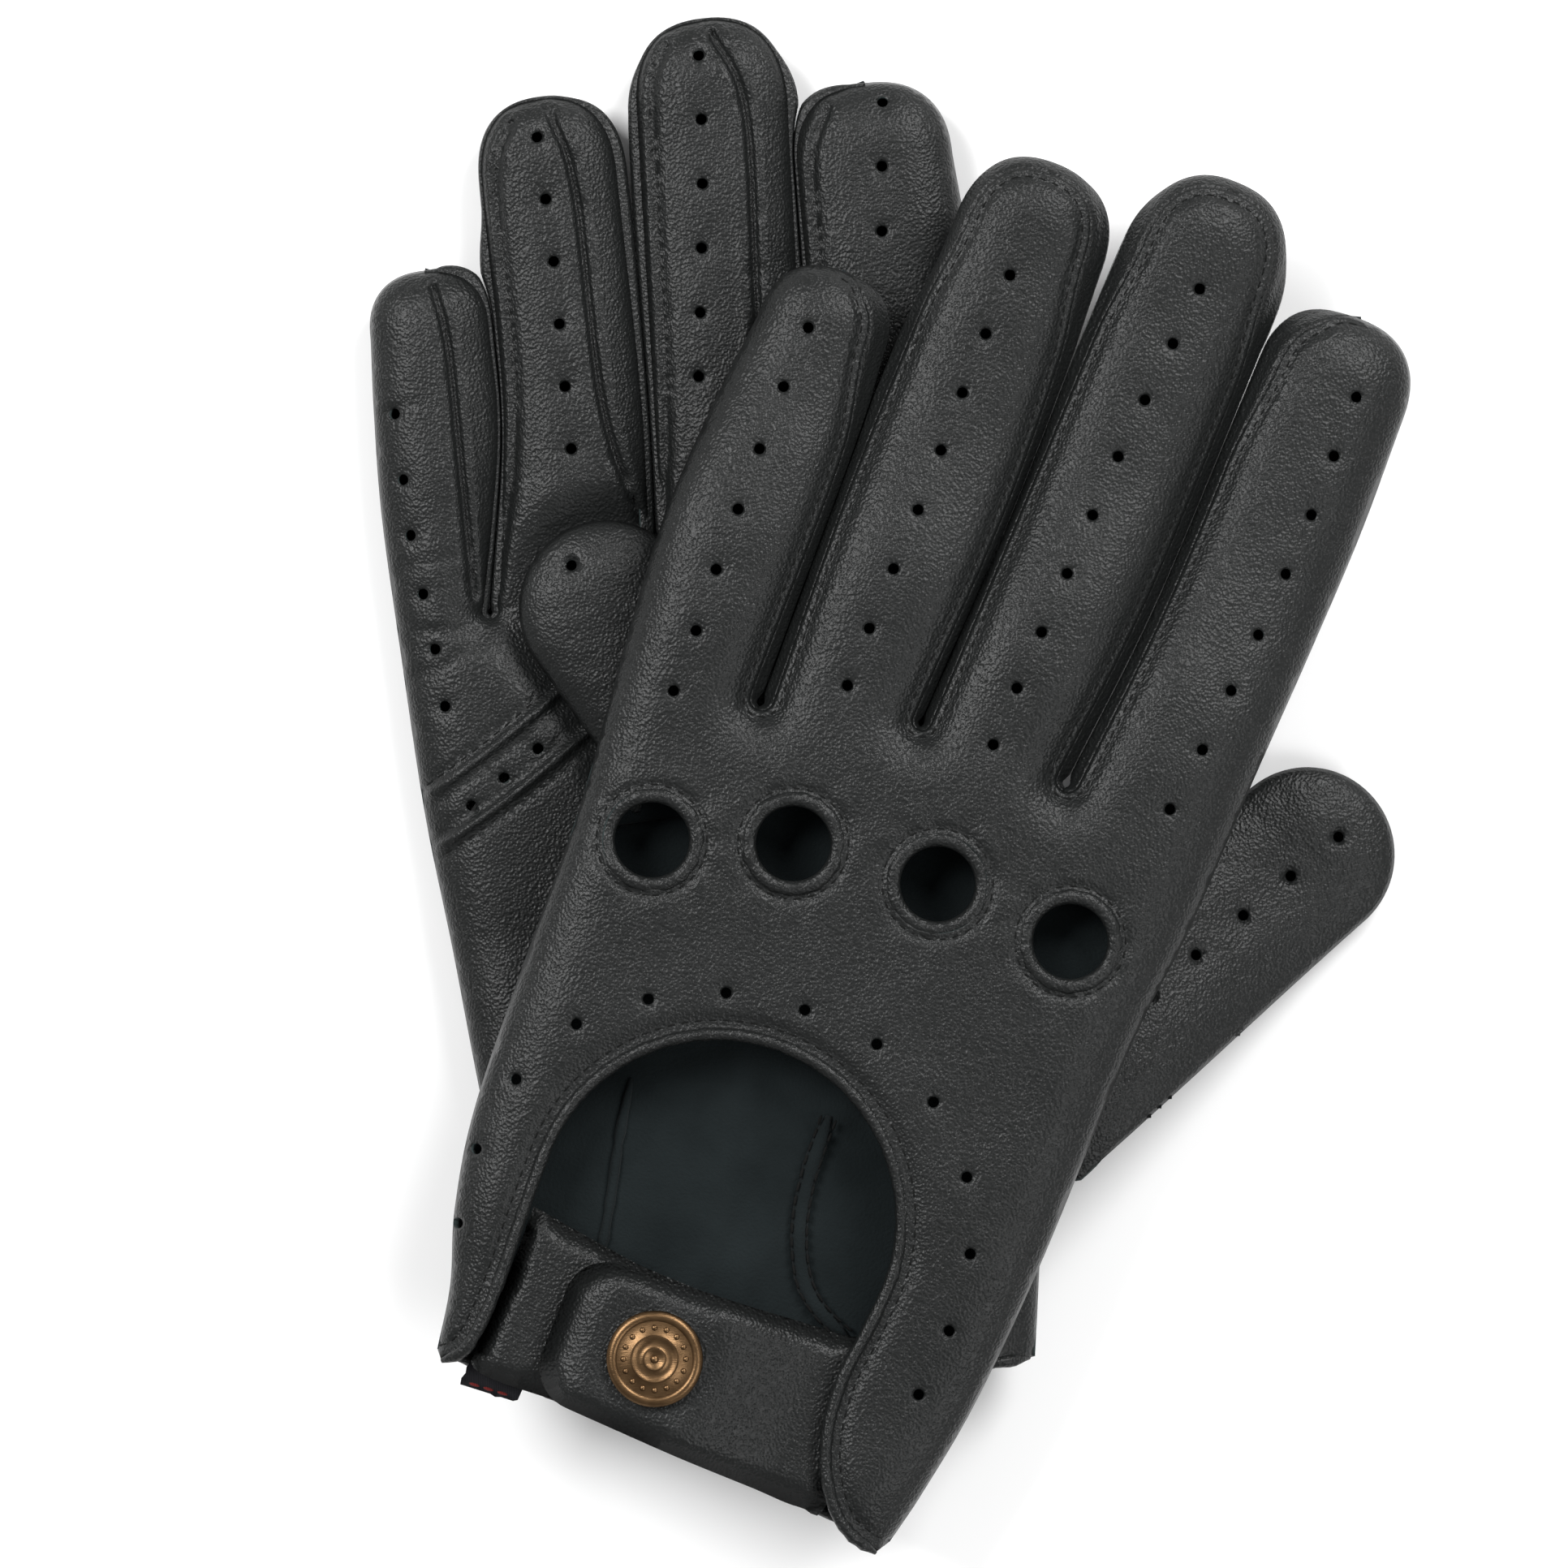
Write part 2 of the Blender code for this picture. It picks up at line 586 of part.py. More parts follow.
def left_pattern():
    """The left glove, back up on top of the other."""
    outer = ((-40.8, -98.6), (-42.6, -88.0), (-46.4, -76.0), (-49.2, -60.0), (-50.2, -36.0), (-50.8, -8.0),
             (-53.4, 20.0), (-55.0, 42.0), (-54.2, 62.0))
    fingers = (
        finger("little", (-42.3, 79.5), 10.2, 11.0, inner=((-30.6, 58.0), (-30.6, 20.0))),
        finger("ring", (-15.8, 105.0), 12.2, 14.6, ((-28.0, 20.0), (-28.9, 60.0)), ((-2.4, 66.0), (-4.4, 26.0))),
        finger("middle", (13.2, 112.0), 12.9, 15.6, ((-2.6, 26.0), (-1.2, 66.0)), ((24.6, 60.0), (21.0, 25.5))),
        finger("index", (40.6, 100.5), 12.4, 13.6, ((23.6, 25.5), (26.8, 60.0))),
    )
    thumb_side = ((53.2, 80.0), (52.3, 60.0), (51.0, 38.0), (49.8, 10.0), (47.6, -12.0), (46.6, -50.0),
                  (44.8, -75.0), (42.0, -92.0), (39.8, -101.6))
    thumb = {"root": (36.2, -20.9), "tip": (64.7, 28.5), "hole": (33.5, -22.0), "droop": 10.5}
    return Glove("left", (-0.75, -15.4), -21.0, 1, -101.8, outer, fingers, thumb_side, thumb)


def right_pattern():
    """The right glove, palm up on the table with its thumb folded across the palm."""
    outer = ((-40.6, -98.8), (-42.6, -86.0), (-46.3, -52.0), (-48.4, -27.0), (-50.5, -4.0), (-51.6, 24.0),
             (-52.2, 46.0), (-51.6, 63.0))
    fingers = (
        finger("little", (-40.6, 75.0), 10.2, 10.4, inner=((-31.0, 56.0), (-36.8, 28.0))),
        finger("ring", (-18.3, 98.0), 11.7, 14.0, ((-35.2, 28.0), (-30.6, 60.0)), ((-6.6, 60.0), (-8.0, 37.0))),
        finger("middle", (10.0, 107.0), 13.0, 15.0, ((-6.4, 37.0), (-5.4, 60.0)), ((20.4, 66.0), (16.6, 37.0))),
        finger("index", (35.6, 95.0), 13.2, 13.4, ((18.4, 37.0), (21.6, 66.0))),
    )
    thumb_side = ((50.0, 75.0), (50.2, 40.0), (49.4, 10.0), (47.6, -12.0), (46.6, -50.0), (45.0, -75.0),
                  (42.2, -94.0), (40.4, -105.0))
    thumb = {"root": (19.0, -33.0), "tip": (-16.5, 26.0), "hole": (18.0, -31.0), "droop": 0.6}
    return Glove("right", (-27.35, 4.8), 6.3, -1, -104.6, outer, fingers, thumb_side, thumb)


def hang_tab(glove):
    """Hang the tab, its cap and its socket from an empty on the line that the tab opens about."""
    hinge = bpy.data.objects.new(glove.name + "_strap_hinge", None)
    PARTS.objects.link(hinge)
    hinge.location = glove.place(HINGE_X, HINGE_Y, HINGE_DEPTH)
    for part in ("_strap_tab", "_snap_cap", "_snap_socket"):
        hung = PARTS.objects[glove.name + part]
        hung.parent = hinge
        hung.matrix_parent_inverse = Matrix.Translation(-hinge.location)


def build(glove):
    back_panel(glove)
    palm_panel(glove)
    fourchettes(glove)
    thumb_panels(glove)
    knuckle_rims(glove)
    keyhole_binding(glove)
    strap_pieces(glove)
    snap(glove)
    hang_tab(glove)
    palm_band(glove)
    palm_hem(glove)


for old in list(bpy.data.objects):
    bpy.data.objects.remove(old)
PARTS = bpy.data.collections.new("leather_driving_gloves")
bpy.context.scene.collection.children.link(PARTS)
LEFT = left_pattern()
build(LEFT)
label(LEFT)
RIGHT = right_pattern()
build(RIGHT)
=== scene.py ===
from math import copysign, cos, pi, radians, sin, tau

import bpy
import numpy as np
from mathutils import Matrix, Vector, noise
from mathutils.geometry import delaunay_2d_cdt
from numpy.linalg import norm


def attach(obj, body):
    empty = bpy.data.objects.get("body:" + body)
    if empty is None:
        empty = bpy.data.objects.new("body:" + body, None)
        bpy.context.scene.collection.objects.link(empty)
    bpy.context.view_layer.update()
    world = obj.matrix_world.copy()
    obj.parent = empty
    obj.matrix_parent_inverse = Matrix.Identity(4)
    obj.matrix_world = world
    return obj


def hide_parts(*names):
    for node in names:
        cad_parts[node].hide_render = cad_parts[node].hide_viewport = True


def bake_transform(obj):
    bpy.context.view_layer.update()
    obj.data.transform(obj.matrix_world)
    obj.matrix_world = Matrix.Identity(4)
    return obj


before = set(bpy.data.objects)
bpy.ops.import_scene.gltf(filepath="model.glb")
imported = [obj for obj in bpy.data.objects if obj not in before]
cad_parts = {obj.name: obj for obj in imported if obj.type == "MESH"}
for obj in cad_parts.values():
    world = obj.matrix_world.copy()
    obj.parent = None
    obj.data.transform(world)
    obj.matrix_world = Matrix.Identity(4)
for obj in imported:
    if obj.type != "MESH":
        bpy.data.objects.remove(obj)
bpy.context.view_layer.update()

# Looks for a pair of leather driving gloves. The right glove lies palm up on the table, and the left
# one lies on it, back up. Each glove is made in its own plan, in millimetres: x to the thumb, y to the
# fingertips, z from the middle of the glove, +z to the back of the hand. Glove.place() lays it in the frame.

MM = 0.001

# Mesh fineness
STEP = 1.15
GRID = 1.25

# Body of the glove
HALF_DEPTH = 6.0
EDGE_ROUND = 10.2
LEATHER = 0.9
GUSSET_LEATHER = 0.5
SIDE_EDGE = 0.6
TIP_EDGE = 2.2
STITCH_IN = 1.3
PALM_EDGE = 0.3
TIP_SQUARENESS = 2.4
RIGHT_LIFT = 6.0
LEFT_LIFT = 26.4

# Knuckle holes and perforations
KNUCKLES = ((-37.8, -8.0), (-16.0, -0.3), (8.4, 2.0), (32.0, 1.0))
KNUCKLE_NAMES = ("little", "ring", "middle", "index")
RIM_MIDDLE = 7.35
RIM_WIDE = 1.25
RIM_HIGH = 1.0
RIM_STITCH = 9.1
PANEL_HOLE = 8.1
PERFORATION = 0.9
PERFORATION_SIDES = 12
PERFORATION_RINGS = (1.35, 1.95)
BACK_PERFORATIONS = (
    # little, ring, middle and index finger, then the arch round the keyhole
    (-44.0, 79.5), (-44.3, 69.0), (-44.3, 58.0), (-44.0, 47.5), (-43.8, 37.0), (-43.3, 26.5), (-43.2, 16.0),
    (-16.2, 99.4), (-16.5, 89.0), (-16.6, 78.6), (-16.5, 68.5), (-16.5, 58.0), (-16.8, 47.5), (-17.0, 37.0),
    (-17.0, 27.0),
    (13.7, 108.6), (12.8, 98.6), (11.8, 88.3), (11.0, 78.0), (10.5, 67.5), (10.0, 57.0), (9.5, 46.5),
    (9.0, 36.5), (8.7, 26.5),
    (44.2, 101.4), (44.2, 91.0), (44.2, 80.6), (43.7, 70.0), (43.0, 59.0), (42.0, 48.8), (41.0, 38.0),
    (39.5, 27.0),
    (-45.0, -78.0), (-46.5, -65.5), (-44.5, -52.5), (-38.5, -40.5), (-29.0, -32.5), (-17.5, -27.0),
    (-4.5, -25.0), (8.5, -26.0), (20.5, -31.5), (30.0, -41.0), (35.0, -52.5), (36.3, -65.5), (35.4, -77.0))
PALM_PERFORATIONS = (
    (-48.0, 62.0), (-47.8, 51.0), (-47.6, 41.7), (-46.6, 31.8), (-45.6, 22.5), (-45.0, 12.9),
    (-19.5, 105.0), (-19.2, 94.6), (-19.0, 84.2), (-19.2, 73.8), (-19.4, 63.4), (-19.5, 53.0),
    (8.6, 115.5), (7.9, 104.9), (6.9, 94.3), (5.6, 83.7), (4.2, 73.1), (2.8, 62.6),
    (38.1, 104.6), (36.8, 93.9), (35.6, 83.2),
    (-42.4, -4.0), (-36.5, 0.0), (-30.4, 4.2))

# Keyhole and its rolled edge
KEYHOLE_CENTRE = (-5.7, -62.0)
KEYHOLE_RADIUS = 30.2
KEYHOLE_LEFT = ((-39.4, -100.0), (-36.6, -97.0), (-35.5, -91.0), (-35.3, -83.0), (-35.7, -73.0))
KEYHOLE_RIGHT = ((23.9, -70.0), (22.9, -78.0), (23.3, -86.0), (25.3, -93.0), (29.0, -99.0),
                 (33.0, -102.2), (38.2, -103.8))
BINDING_RADIUS = 1.05
BINDING_STITCH = 2.3

# Strap and snap
SNAP_CENTRE = (-7.0, -86.8)
SNAP_HOLE = 1.7
FLAP_TOP = 3.1
FLAP_THICKNESS = 1.2
ROOT_TOP = 2.8
SNAP_TOP = 7.9
TIP_DROP = 1.8
STRAP_THICKNESS = 1.9
STRAP_CORNER = 7.0
HINGE_X = 19.3
HINGE_Y = -86.5
BEND_HALF = 5.0

# Thumb
THUMB_TIP_RADIUS = 14.6
THUMB_ROOT_RADIUS = 17.0
THUMB_MID = 6.8
THUMB_ROUND = 12.0
THUMB_OUTER_DEPTH = 4.3
THUMB_INNER_DEPTH = 3.2
THUMB_HOLE = 8.0
THUMB_GRID = 1.5

# Palm
PALM_DENT = 2.5
BAND_START = (-50.6, -6.4)
BAND_TURN = radians(31.5)
BAND_HALF = 4.1
BAND_REACH = 34.0
FLEXION_CREASES = (
    # (line, depth) at the root of the little finger and on its pad
    (((-51.5, 26.2), (-45.0, 25.6), (-38.0, 24.7)), 0.7),
    (((-51.8, 17.7), (-45.0, 19.5), (-37.7, 22.9)), 0.55),
    (((-50.0, 36.4), (-40.0, 37.4)), 0.35), (((-50.0, 62.8), (-44.0, 63.2)), 0.3))
LINING_FOLDS = (
    (((-12.0, -34.0), (-4.0, -50.0), (-6.0, -76.0)), 0.9),
    (((8.0, -36.0), (3.5, -52.0), (2.5, -74.0)), 0.7))

# Stitches
PITCH = 2.25
STITCH_LENGTH = 1.75
STITCH_RADIUS = 0.25
STITCH_SIDES = 6
STITCH_SINK = 0.22

# Textures
NOISE = "ShaderNodeTexNoise"
WAVE = "ShaderNodeTexWave"

# Picture
VIEW_CENTRE = (-17.3, -0.2)
VIEW_WIDTH = 257.6
VIEW_PLANE = 24.0
LENS = 200.0
SENSOR = 36.0


# -------- plan geometry

def ease(t):
    t = np.clip(t, 0.0, 1.0)
    return t * t * (3 - 2 * t)


def bump(distance, width):
    """1 on a line and 0 some widths away from it."""
    return np.exp(-(distance / width) ** 2)


def smooth(points, step):
    """Points about every step along a smooth curve through the given ones."""
    first, last = Vector(points[0]), Vector(points[-1])
    knots = [2 * first - Vector(points[1]), *map(Vector, points), 2 * last - Vector(points[-2])]
    made = []
    for p0, p1, p2, p3 in zip(knots, knots[1:], knots[2:], knots[3:]):
        count = max(1, round((p2 - p1).length / step))
        for i in range(count):
            t = i / count
            made.append(tuple(0.5 * (2 * p1 + t * (p2 - p0) + t * t * (2 * p0 - 5 * p1 + 4 * p2 - p3)
                                     + t * t * t * (3 * p1 - p0 - 3 * p2 + p3))))
    return made + [tuple(last)]


def tip_arc(finger, start, end, count=22):
    """Part of a fingertip's round end; 180 degrees is its left side and 90 its apex."""
    (x, y), half, height = finger["tip"], finger["half"], finger["height"]
    made = []
    for i in range(count + 1):
        a = radians(start + (end - start) * i / count)
        square = 2 / TIP_SQUARENESS
        across = copysign(abs(cos(a)) ** square, cos(a))
        made.append((x + half * across, y + height * abs(sin(a)) ** square))
    return made


def crotch_arc(left, right, count=8):
    """The round bottom of the slit between two fingers."""
    a, b = Vector(left), Vector(right)
    middle, half = (a + b) / 2, (b - a).length / 2
    return [(middle.x - half * cos(t), middle.y - half * sin(t))
            for t in (pi * i / count for i in range(1, count))]


def resample(points, step):
    """The same line with points evenly spaced."""
    p = np.array(points, float)
    run = np.concatenate([[0], np.cumsum(norm(np.diff(p, axis=0), axis=1))])
    count = max(2, int(round(run[-1] / step)) + 1)
    at = np.linspace(0, run[-1], count)
    return np.stack([np.interp(at, run, p[:, k]) for k in range(p.shape[1])], axis=1)


def normals(line):
    """Unit normals right of the direction of travel."""
    along = np.gradient(np.array(line, float), axis=0)
    along /= norm(along, axis=1)[:, None] + 1e-12
    return np.stack([along[:, 1], -along[:, 0]], axis=1)


def distance(line, points):
    """Least distance from each point to an open line."""
    line = np.array(line, float)
    best = np.full(len(points), 1e9)
    for a, b in zip(line, line[1:]):
        d = b - a
        t = np.clip(((points - a) @ d) / (d @ d + 1e-12), 0, 1)
        gap = points - a - t[:, None] * d
        best = np.minimum(best, gap[:, 0] ** 2 + gap[:, 1] ** 2)
    return np.sqrt(best)


def inside(loop, points):
    found = np.zeros(len(points), bool)
    x, y = points[:, 0], points[:, 1]
    for (ax, ay), (bx, by) in zip(loop, np.roll(loop, -1, axis=0)):
        if ay != by:
            crossed = ((ay > y) != (by > y)) & (x < (bx - ax) * (y - ay) / (by - ay) + ax)
            found ^= crossed
    return found


def circle(centre, radius, count):
    a = np.arange(count) * tau / count
    return np.stack([centre[0] + radius * np.cos(a), centre[1] + radius * np.sin(a)], axis=1)


def waves(points, length, seed):
    """Smooth noise over the plan, about -1 to 1, with this wave length."""
    return np.array([noise.noise(Vector((x / length, y / length, seed))) for x, y in points])


# -------- the gloves

class Glove:
    """One glove's pattern and where it lies."""

    def __init__(self, name, origin, turn, back, wrist, outer, fingers, thumb_side, thumb):
        self.name = name
        self.origin = origin
        self.turn = radians(turn)
        self.back = back
        self.wrist = wrist
        self.outer = outer
        self.fingers = fingers
        self.thumb_side = thumb_side
        self.thumb = thumb
        self.body = name + "_glove"
        self.tab_body = name + "_strap_tab"
        self.seed = 3.1 if back > 0 else 8.7
        self.edge, self.spans = self.silhouette()
        self.edge_normals = normals(self.edge)
        self.rims = self.raw_edges()
        self.stitches = [self.in_from_rim(first, last, STITCH_IN) for name, first, last in self.spans
                         if not name.endswith("_fold")]
        self.keyhole = resample(keyhole_line(), STEP)

    def silhouette(self):
        first, last = self.fingers[0], self.fingers[-1]
        fold = smooth([*self.outer, tip_arc(first, 180, 90)[0]], STEP)
        runs = [("outer_fold", fold[:-1] + tip_arc(first, 180, 90))]
        for left, right in zip(self.fingers, self.fingers[1:]):
            down = smooth([tip_arc(left, 90, 0)[-1], *left["inner"]], STEP)
            up = smooth([*right["outer"], tip_arc(right, 180, 90)[0]], STEP)
            crotch = crotch_arc(left["inner"][-1], right["outer"][0])
            half = len(crotch) // 2
            runs.append((left["name"] + "_inner", tip_arc(left, 90, 0)[:-1] + down + crotch[:half + 1]))
            runs.append((right["name"] + "_outer", crotch[half:] + up[:-1] + tip_arc(right, 180, 90)))
        side = smooth([tip_arc(last, 90, 0)[-1], *self.thumb_side], STEP)
        runs.append(("thumb_fold", tip_arc(last, 90, 0)[:-1] + side))
        edge, spans = [], []
        for name, run in runs:
            spans.append((name, len(edge), len(edge) + len(run) - 1))
            edge += run[:-1]
        return np.array(edge + [runs[-1][1][-1]]), spans

    def moved_in(self, first, last, gap):
        return self.edge[first:last + 1] + self.edge_normals[first:last + 1] * gap

    def raw_edges(self):
        """How far inside the outline the back's cut edge lies: nothing at the folds, most at the tips."""
        rims = np.zeros(len(self.edge))
        tips = {part["name"]: part["tip"][1] for part in self.fingers}
        for name, first, last in self.spans:
            if name.endswith("_fold"):
                continue
            up = self.edge[first:last + 1, 1] - tips[name.split("_")[0]]
            rim = SIDE_EDGE + (TIP_EDGE - SIDE_EDGE) * ease((up + 16.0) / 18.0)
            steps = np.arange(len(rim))
            if name == "little_inner":
                rim = rim * ease(steps / 9.0)
            if name == "index_outer":
                rim = rim * ease((len(rim) - 1 - steps) / 9.0)
            rims[first:last + 1] = rim
        return rims

    def facing(self, name):
        """The span of the outline across the slit from this one."""
        names = [span[0] for span in self.spans]
        at = names.index(name)
        _, first, last = self.spans[at + (1 if name.endswith("_inner") else -1)]
        return first, last + 1

    def in_from_rim(self, first, last, gap):
        return self.moved_in(first, last, self.rims[first:last + 1, None] + gap)

    def lift(self, points):
        """How high the glove's middle lies: it drops where there is less under it."""
        if self.back < 0:
            return RIGHT_LIFT + 3.6 * ease((-25.0 - points[:, 1]) / 45.0)
        across = self.plan(points)[:, 0]
        return LEFT_LIFT - 4.6 * ease((points[:, 1] - 40.0) / 40.0) - 6.0 * ease((across - 25.0) / 65.0)

    def plan(self, points):
        c, s = cos(self.turn), sin(self.turn)
        x, y = points[:, 0], points[:, 1]
        return np.stack([self.origin[0] + c * x - s * y, self.origin[1] + s * x + c * y], axis=1)

    def place(self, points, z):
        points = np.asarray(points, float)
        flat = self.plan(points)
        return np.column_stack([flat, np.maximum(self.lift(points) + self.back * z, 0.0)]) * MM


def keyhole_line():
    cx, cy = KEYHOLE_CENTRE
    arch = [(cx - KEYHOLE_RADIUS * cos(a), cy + KEYHOLE_RADIUS * sin(a))
            for a in (pi * i / 24 for i in range(25))]
    return smooth([*KEYHOLE_LEFT, *arch, *KEYHOLE_RIGHT], STEP)


def finger(name, tip, half, height, outer=(), inner=()):
    return {"name": name, "tip": tip, "half": half, "height": height, "outer": outer, "inner": inner}


def left_glove():
    outer = ((-40.8, -98.6), (-42.6, -88.0), (-46.4, -76.0), (-49.2, -60.0), (-50.2, -36.0), (-50.8, -8.0),
             (-53.4, 20.0), (-55.0, 42.0), (-54.2, 62.0))
    fingers = (
        finger("little", (-42.3, 79.5), 10.2, 11.0, inner=((-30.6, 58.0), (-30.6, 20.0))),
        finger("ring", (-15.8, 105.0), 12.2, 14.6, ((-28.0, 20.0), (-28.9, 60.0)),
               ((-2.4, 66.0), (-4.4, 26.0))),
        finger("middle", (13.2, 112.0), 12.9, 15.6, ((-2.6, 26.0), (-1.2, 66.0)),
               ((24.6, 60.0), (21.0, 25.5))),
        finger("index", (40.6, 100.5), 12.4, 13.6, ((23.6, 25.5), (26.8, 60.0))),
    )
    side = ((53.2, 80.0), (52.3, 60.0), (51.0, 38.0), (49.8, 10.0), (47.6, -12.0), (46.6, -50.0),
            (44.8, -75.0), (42.0, -92.0), (39.8, -101.6))
    thumb = {"root": (36.2, -20.9), "tip": (64.7, 28.5), "hole": (33.5, -22.0), "droop": 10.5, "cut": -0.12}
    return Glove("left", (-0.75, -15.4), -21.0, 1, -99.8, outer, fingers, side, thumb)


def right_glove():
    outer = ((-40.6, -98.8), (-42.6, -86.0), (-46.3, -52.0), (-48.4, -27.0), (-50.5, -4.0), (-51.6, 24.0),
             (-52.2, 46.0), (-51.6, 63.0))
    fingers = (
        finger("little", (-40.6, 75.0), 10.2, 10.4, inner=((-31.0, 56.0), (-36.8, 28.0))),
        finger("ring", (-18.3, 98.0), 11.7, 14.0, ((-35.2, 28.0), (-30.6, 60.0)),
               ((-6.6, 60.0), (-8.0, 37.0))),
        finger("middle", (10.0, 107.0), 13.0, 15.0, ((-6.4, 37.0), (-5.4, 60.0)),
               ((20.4, 66.0), (16.6, 37.0))),
        finger("index", (35.6, 95.0), 13.2, 13.4, ((18.4, 37.0), (21.6, 66.0))),
    )
    side = ((50.0, 75.0), (50.2, 40.0), (49.4, 10.0), (47.6, -12.0), (46.6, -50.0), (45.0, -75.0),
            (42.2, -94.0), (40.4, -105.0))
    thumb = {"root": (19.0, -33.0), "tip": (-16.5, 26.0), "hole": (18.0, -31.0), "droop": 0.6, "cut": 0.3}
    return Glove("right", (-27.35, 4.8), 6.3, -1, -104.6, outer, fingers, side, thumb)


# -------- surfaces

def crown(gap, reach):
    """Share of the full height this far from the edge: a quarter ellipse."""
    return np.sqrt(1 - (1 - np.clip(gap / reach, 0, 1)) ** 2)


def seam_gap(glove, points):
    return np.min([distance(line, points) for line in glove.stitches], axis=0)


def perforation_dip(points, holes):
    dip = np.zeros(len(points))
    for hole in holes:
        dip += 0.45 * bump(norm(points - np.array(hole), axis=1), 1.5)
    return dip


def back_height(glove, points, relief=True):
    """The outside of the back of the glove, with its seams drawn in."""
    points = np.asarray(points, float)
    gap = distance(glove.edge, points)
    body = crown(gap, EDGE_ROUND)
    z = HALF_DEPTH * body
    if not relief:
        return z
    proud = 1.0 if glove.back > 0 else 0.0
    z += body * proud * (0.75 * waves(points, 30, glove.seed) + 0.28 * waves(points, 11, glove.seed + 5))
    seam = seam_gap(glove, points)
    z += 0.2 * bump(seam - 1.15, 0.6) - 0.55 * bump(seam, 0.6)
    key = distance(glove.keyhole, points)
    z -= 0.5 * bump(key - BINDING_STITCH, 0.55) + 0.5 * bump(key, 3.0)
    for centre in KNUCKLES:
        away = points - np.array(centre)
        r = norm(away, axis=1)
        turn = np.arctan2(away[:, 1], away[:, 0])
        fold = np.sin(turn * 9 + 2 * np.sin(turn * 2 + centre[0]))
        z -= 0.5 * bump(r - RIM_STITCH, 0.55)
        z += proud * 0.16 * fold * bump(r - RIM_STITCH - 1.6, 1.8)
    return z - perforation_dip(points, BACK_PERFORATIONS)


def band_lines(glove):
    """The two welted seams across the palm."""
    along = np.array([cos(BAND_TURN), sin(BAND_TURN)])
    across = np.array([-along[1], along[0]])
    middle = np.array(BAND_START) + along * np.linspace(-3.0, BAND_REACH, 44)[:, None]
    sag = 0.9 * np.sin(np.linspace(0, pi, 44))[:, None]
    lines = [middle + across * (side * BAND_HALF - sag) for side in (-1, 1)]
    return [line[inside(glove.edge, line) & (distance(glove.edge, line) > 0.9)] for line in lines]


def palm_creases(glove):
    """Where the palm's finger panels meet the fourchettes: (line, depth of the crease)."""
    lines = []
    for part in glove.fingers:
        x, y = part["tip"]
        if part["name"] != "index":
            low = part["inner"][-1]
            near = [(low[0] - 1.5, low[1] + 3), (part["inner"][0][0] - 7.0, part["inner"][0][1]),
                    (x + part["half"] - 7.6, y - 2), (x + 1.2, y + part["height"] - 3.0)]
            lines.append((resample(smooth(near, 2.0), 2.0), 1.7))
        if part["outer"]:
            low = part["outer"][0]
            near = [(low[0] + 0.8, low[1] + 3), (part["outer"][-1][0] + 2.4, part["outer"][-1][1]),
                    (x - part["half"] + 2.9, y), (x - part["half"] + 6.5, y + part["height"] - 4.0)]
            lines.append((resample(smooth(near, 2.0), 2.0), 1.1))
    return lines


def palm_height(glove, points, relief=True):
    """The outside of the palm, which is at -z."""
    points = np.asarray(points, float)
    gap = distance(glove.edge, points)
    body = crown(gap, EDGE_ROUND)
    reach = distance([glove.thumb["root"], glove.thumb["tip"]], points)
    z = (HALF_DEPTH - PALM_DENT * (1 - ease((reach - 13.0) / 9.0))) * body
    if relief:
        z += body * (0.5 * waves(points, 26, glove.seed + 11) + 0.2 * waves(points, 9, glove.seed + 17))
        for line, depth in palm_creases(glove):
            near = distance(line, points)
            z += 0.45 * bump(near - 1.5, 1.0) - depth * bump(near, 0.55)
        for line in band_lines(glove):
            near = distance(line, points)
            z += 0.75 * bump(near, 0.75) - 0.45 * bump(near - 1.5, 0.6)
        for line, depth in FLEXION_CREASES:
            z -= depth * bump(distance(line, points), 0.6)
        if glove.back > 0:
            for line, rise in LINING_FOLDS:
                z -= rise * bump(distance(line, points), 2.4)
        z -= perforation_dip(points, PALM_PERFORATIONS)
    return -z


def thumb_share(glove, points):
    root, tip = (np.array(glove.thumb[k]) for k in ("root", "tip"))
    return (points - root) @ (tip - root) / ((tip - root) @ (tip - root))


def thumb_outline(glove, start=None):
    root, tip = (np.array(glove.thumb[k]) for k in ("root", "tip"))
    along = (tip - root) / norm(tip - root)
    across = np.array([along[1], -along[0]])

    def arc(centre, radius, low, high):
        a = np.radians(np.linspace(low, high, 40))[:, None]
        return centre + (across * np.cos(a) + along * np.sin(a)) * radius

    made = arc(tip, THUMB_TIP_RADIUS, 0, 180)
    if start is None:
        made = np.vstack([made, arc(root, THUMB_ROOT_RADIUS, 180, 360)])
    else:
        middle = root + (tip - root) * start
        radius = THUMB_ROOT_RADIUS + (THUMB_TIP_RADIUS - THUMB_ROOT_RADIUS) * start
        made = np.vstack([made, [middle - across * radius, middle + across * radius]])
    return resample(np.vstack([made, made[:1]]), STEP)[:-1]


def thumb_height(glove, points, side):
    """The thumb's outer half (side -1) or the half towards the palm (side 1)."""
    points = np.asarray(points, float)
    edge = thumb_outline(glove)
    gap = distance(np.vstack([edge, edge[:1]]), points)
    share = thumb_share(glove, points)
    middle = -THUMB_MID - glove.thumb["droop"] * ease(share)
    full = (THUMB_OUTER_DEPTH if side < 0 else THUMB_INNER_DEPTH) * (0.6 + 0.4 * ease(share / 0.5))
    body = crown(gap, THUMB_ROUND)
    wrinkle = (0.35 * waves(points, 14, glove.seed + 21)
               + 0.22 * waves(points * (1.0, 2.2), 6, glove.seed + 27))
    dips = perforation_dip(points, thumb_perforations(glove)) if side == glove.back else 0.0
    return middle + side * (full * body + 0.25 + wrinkle * body - dips)


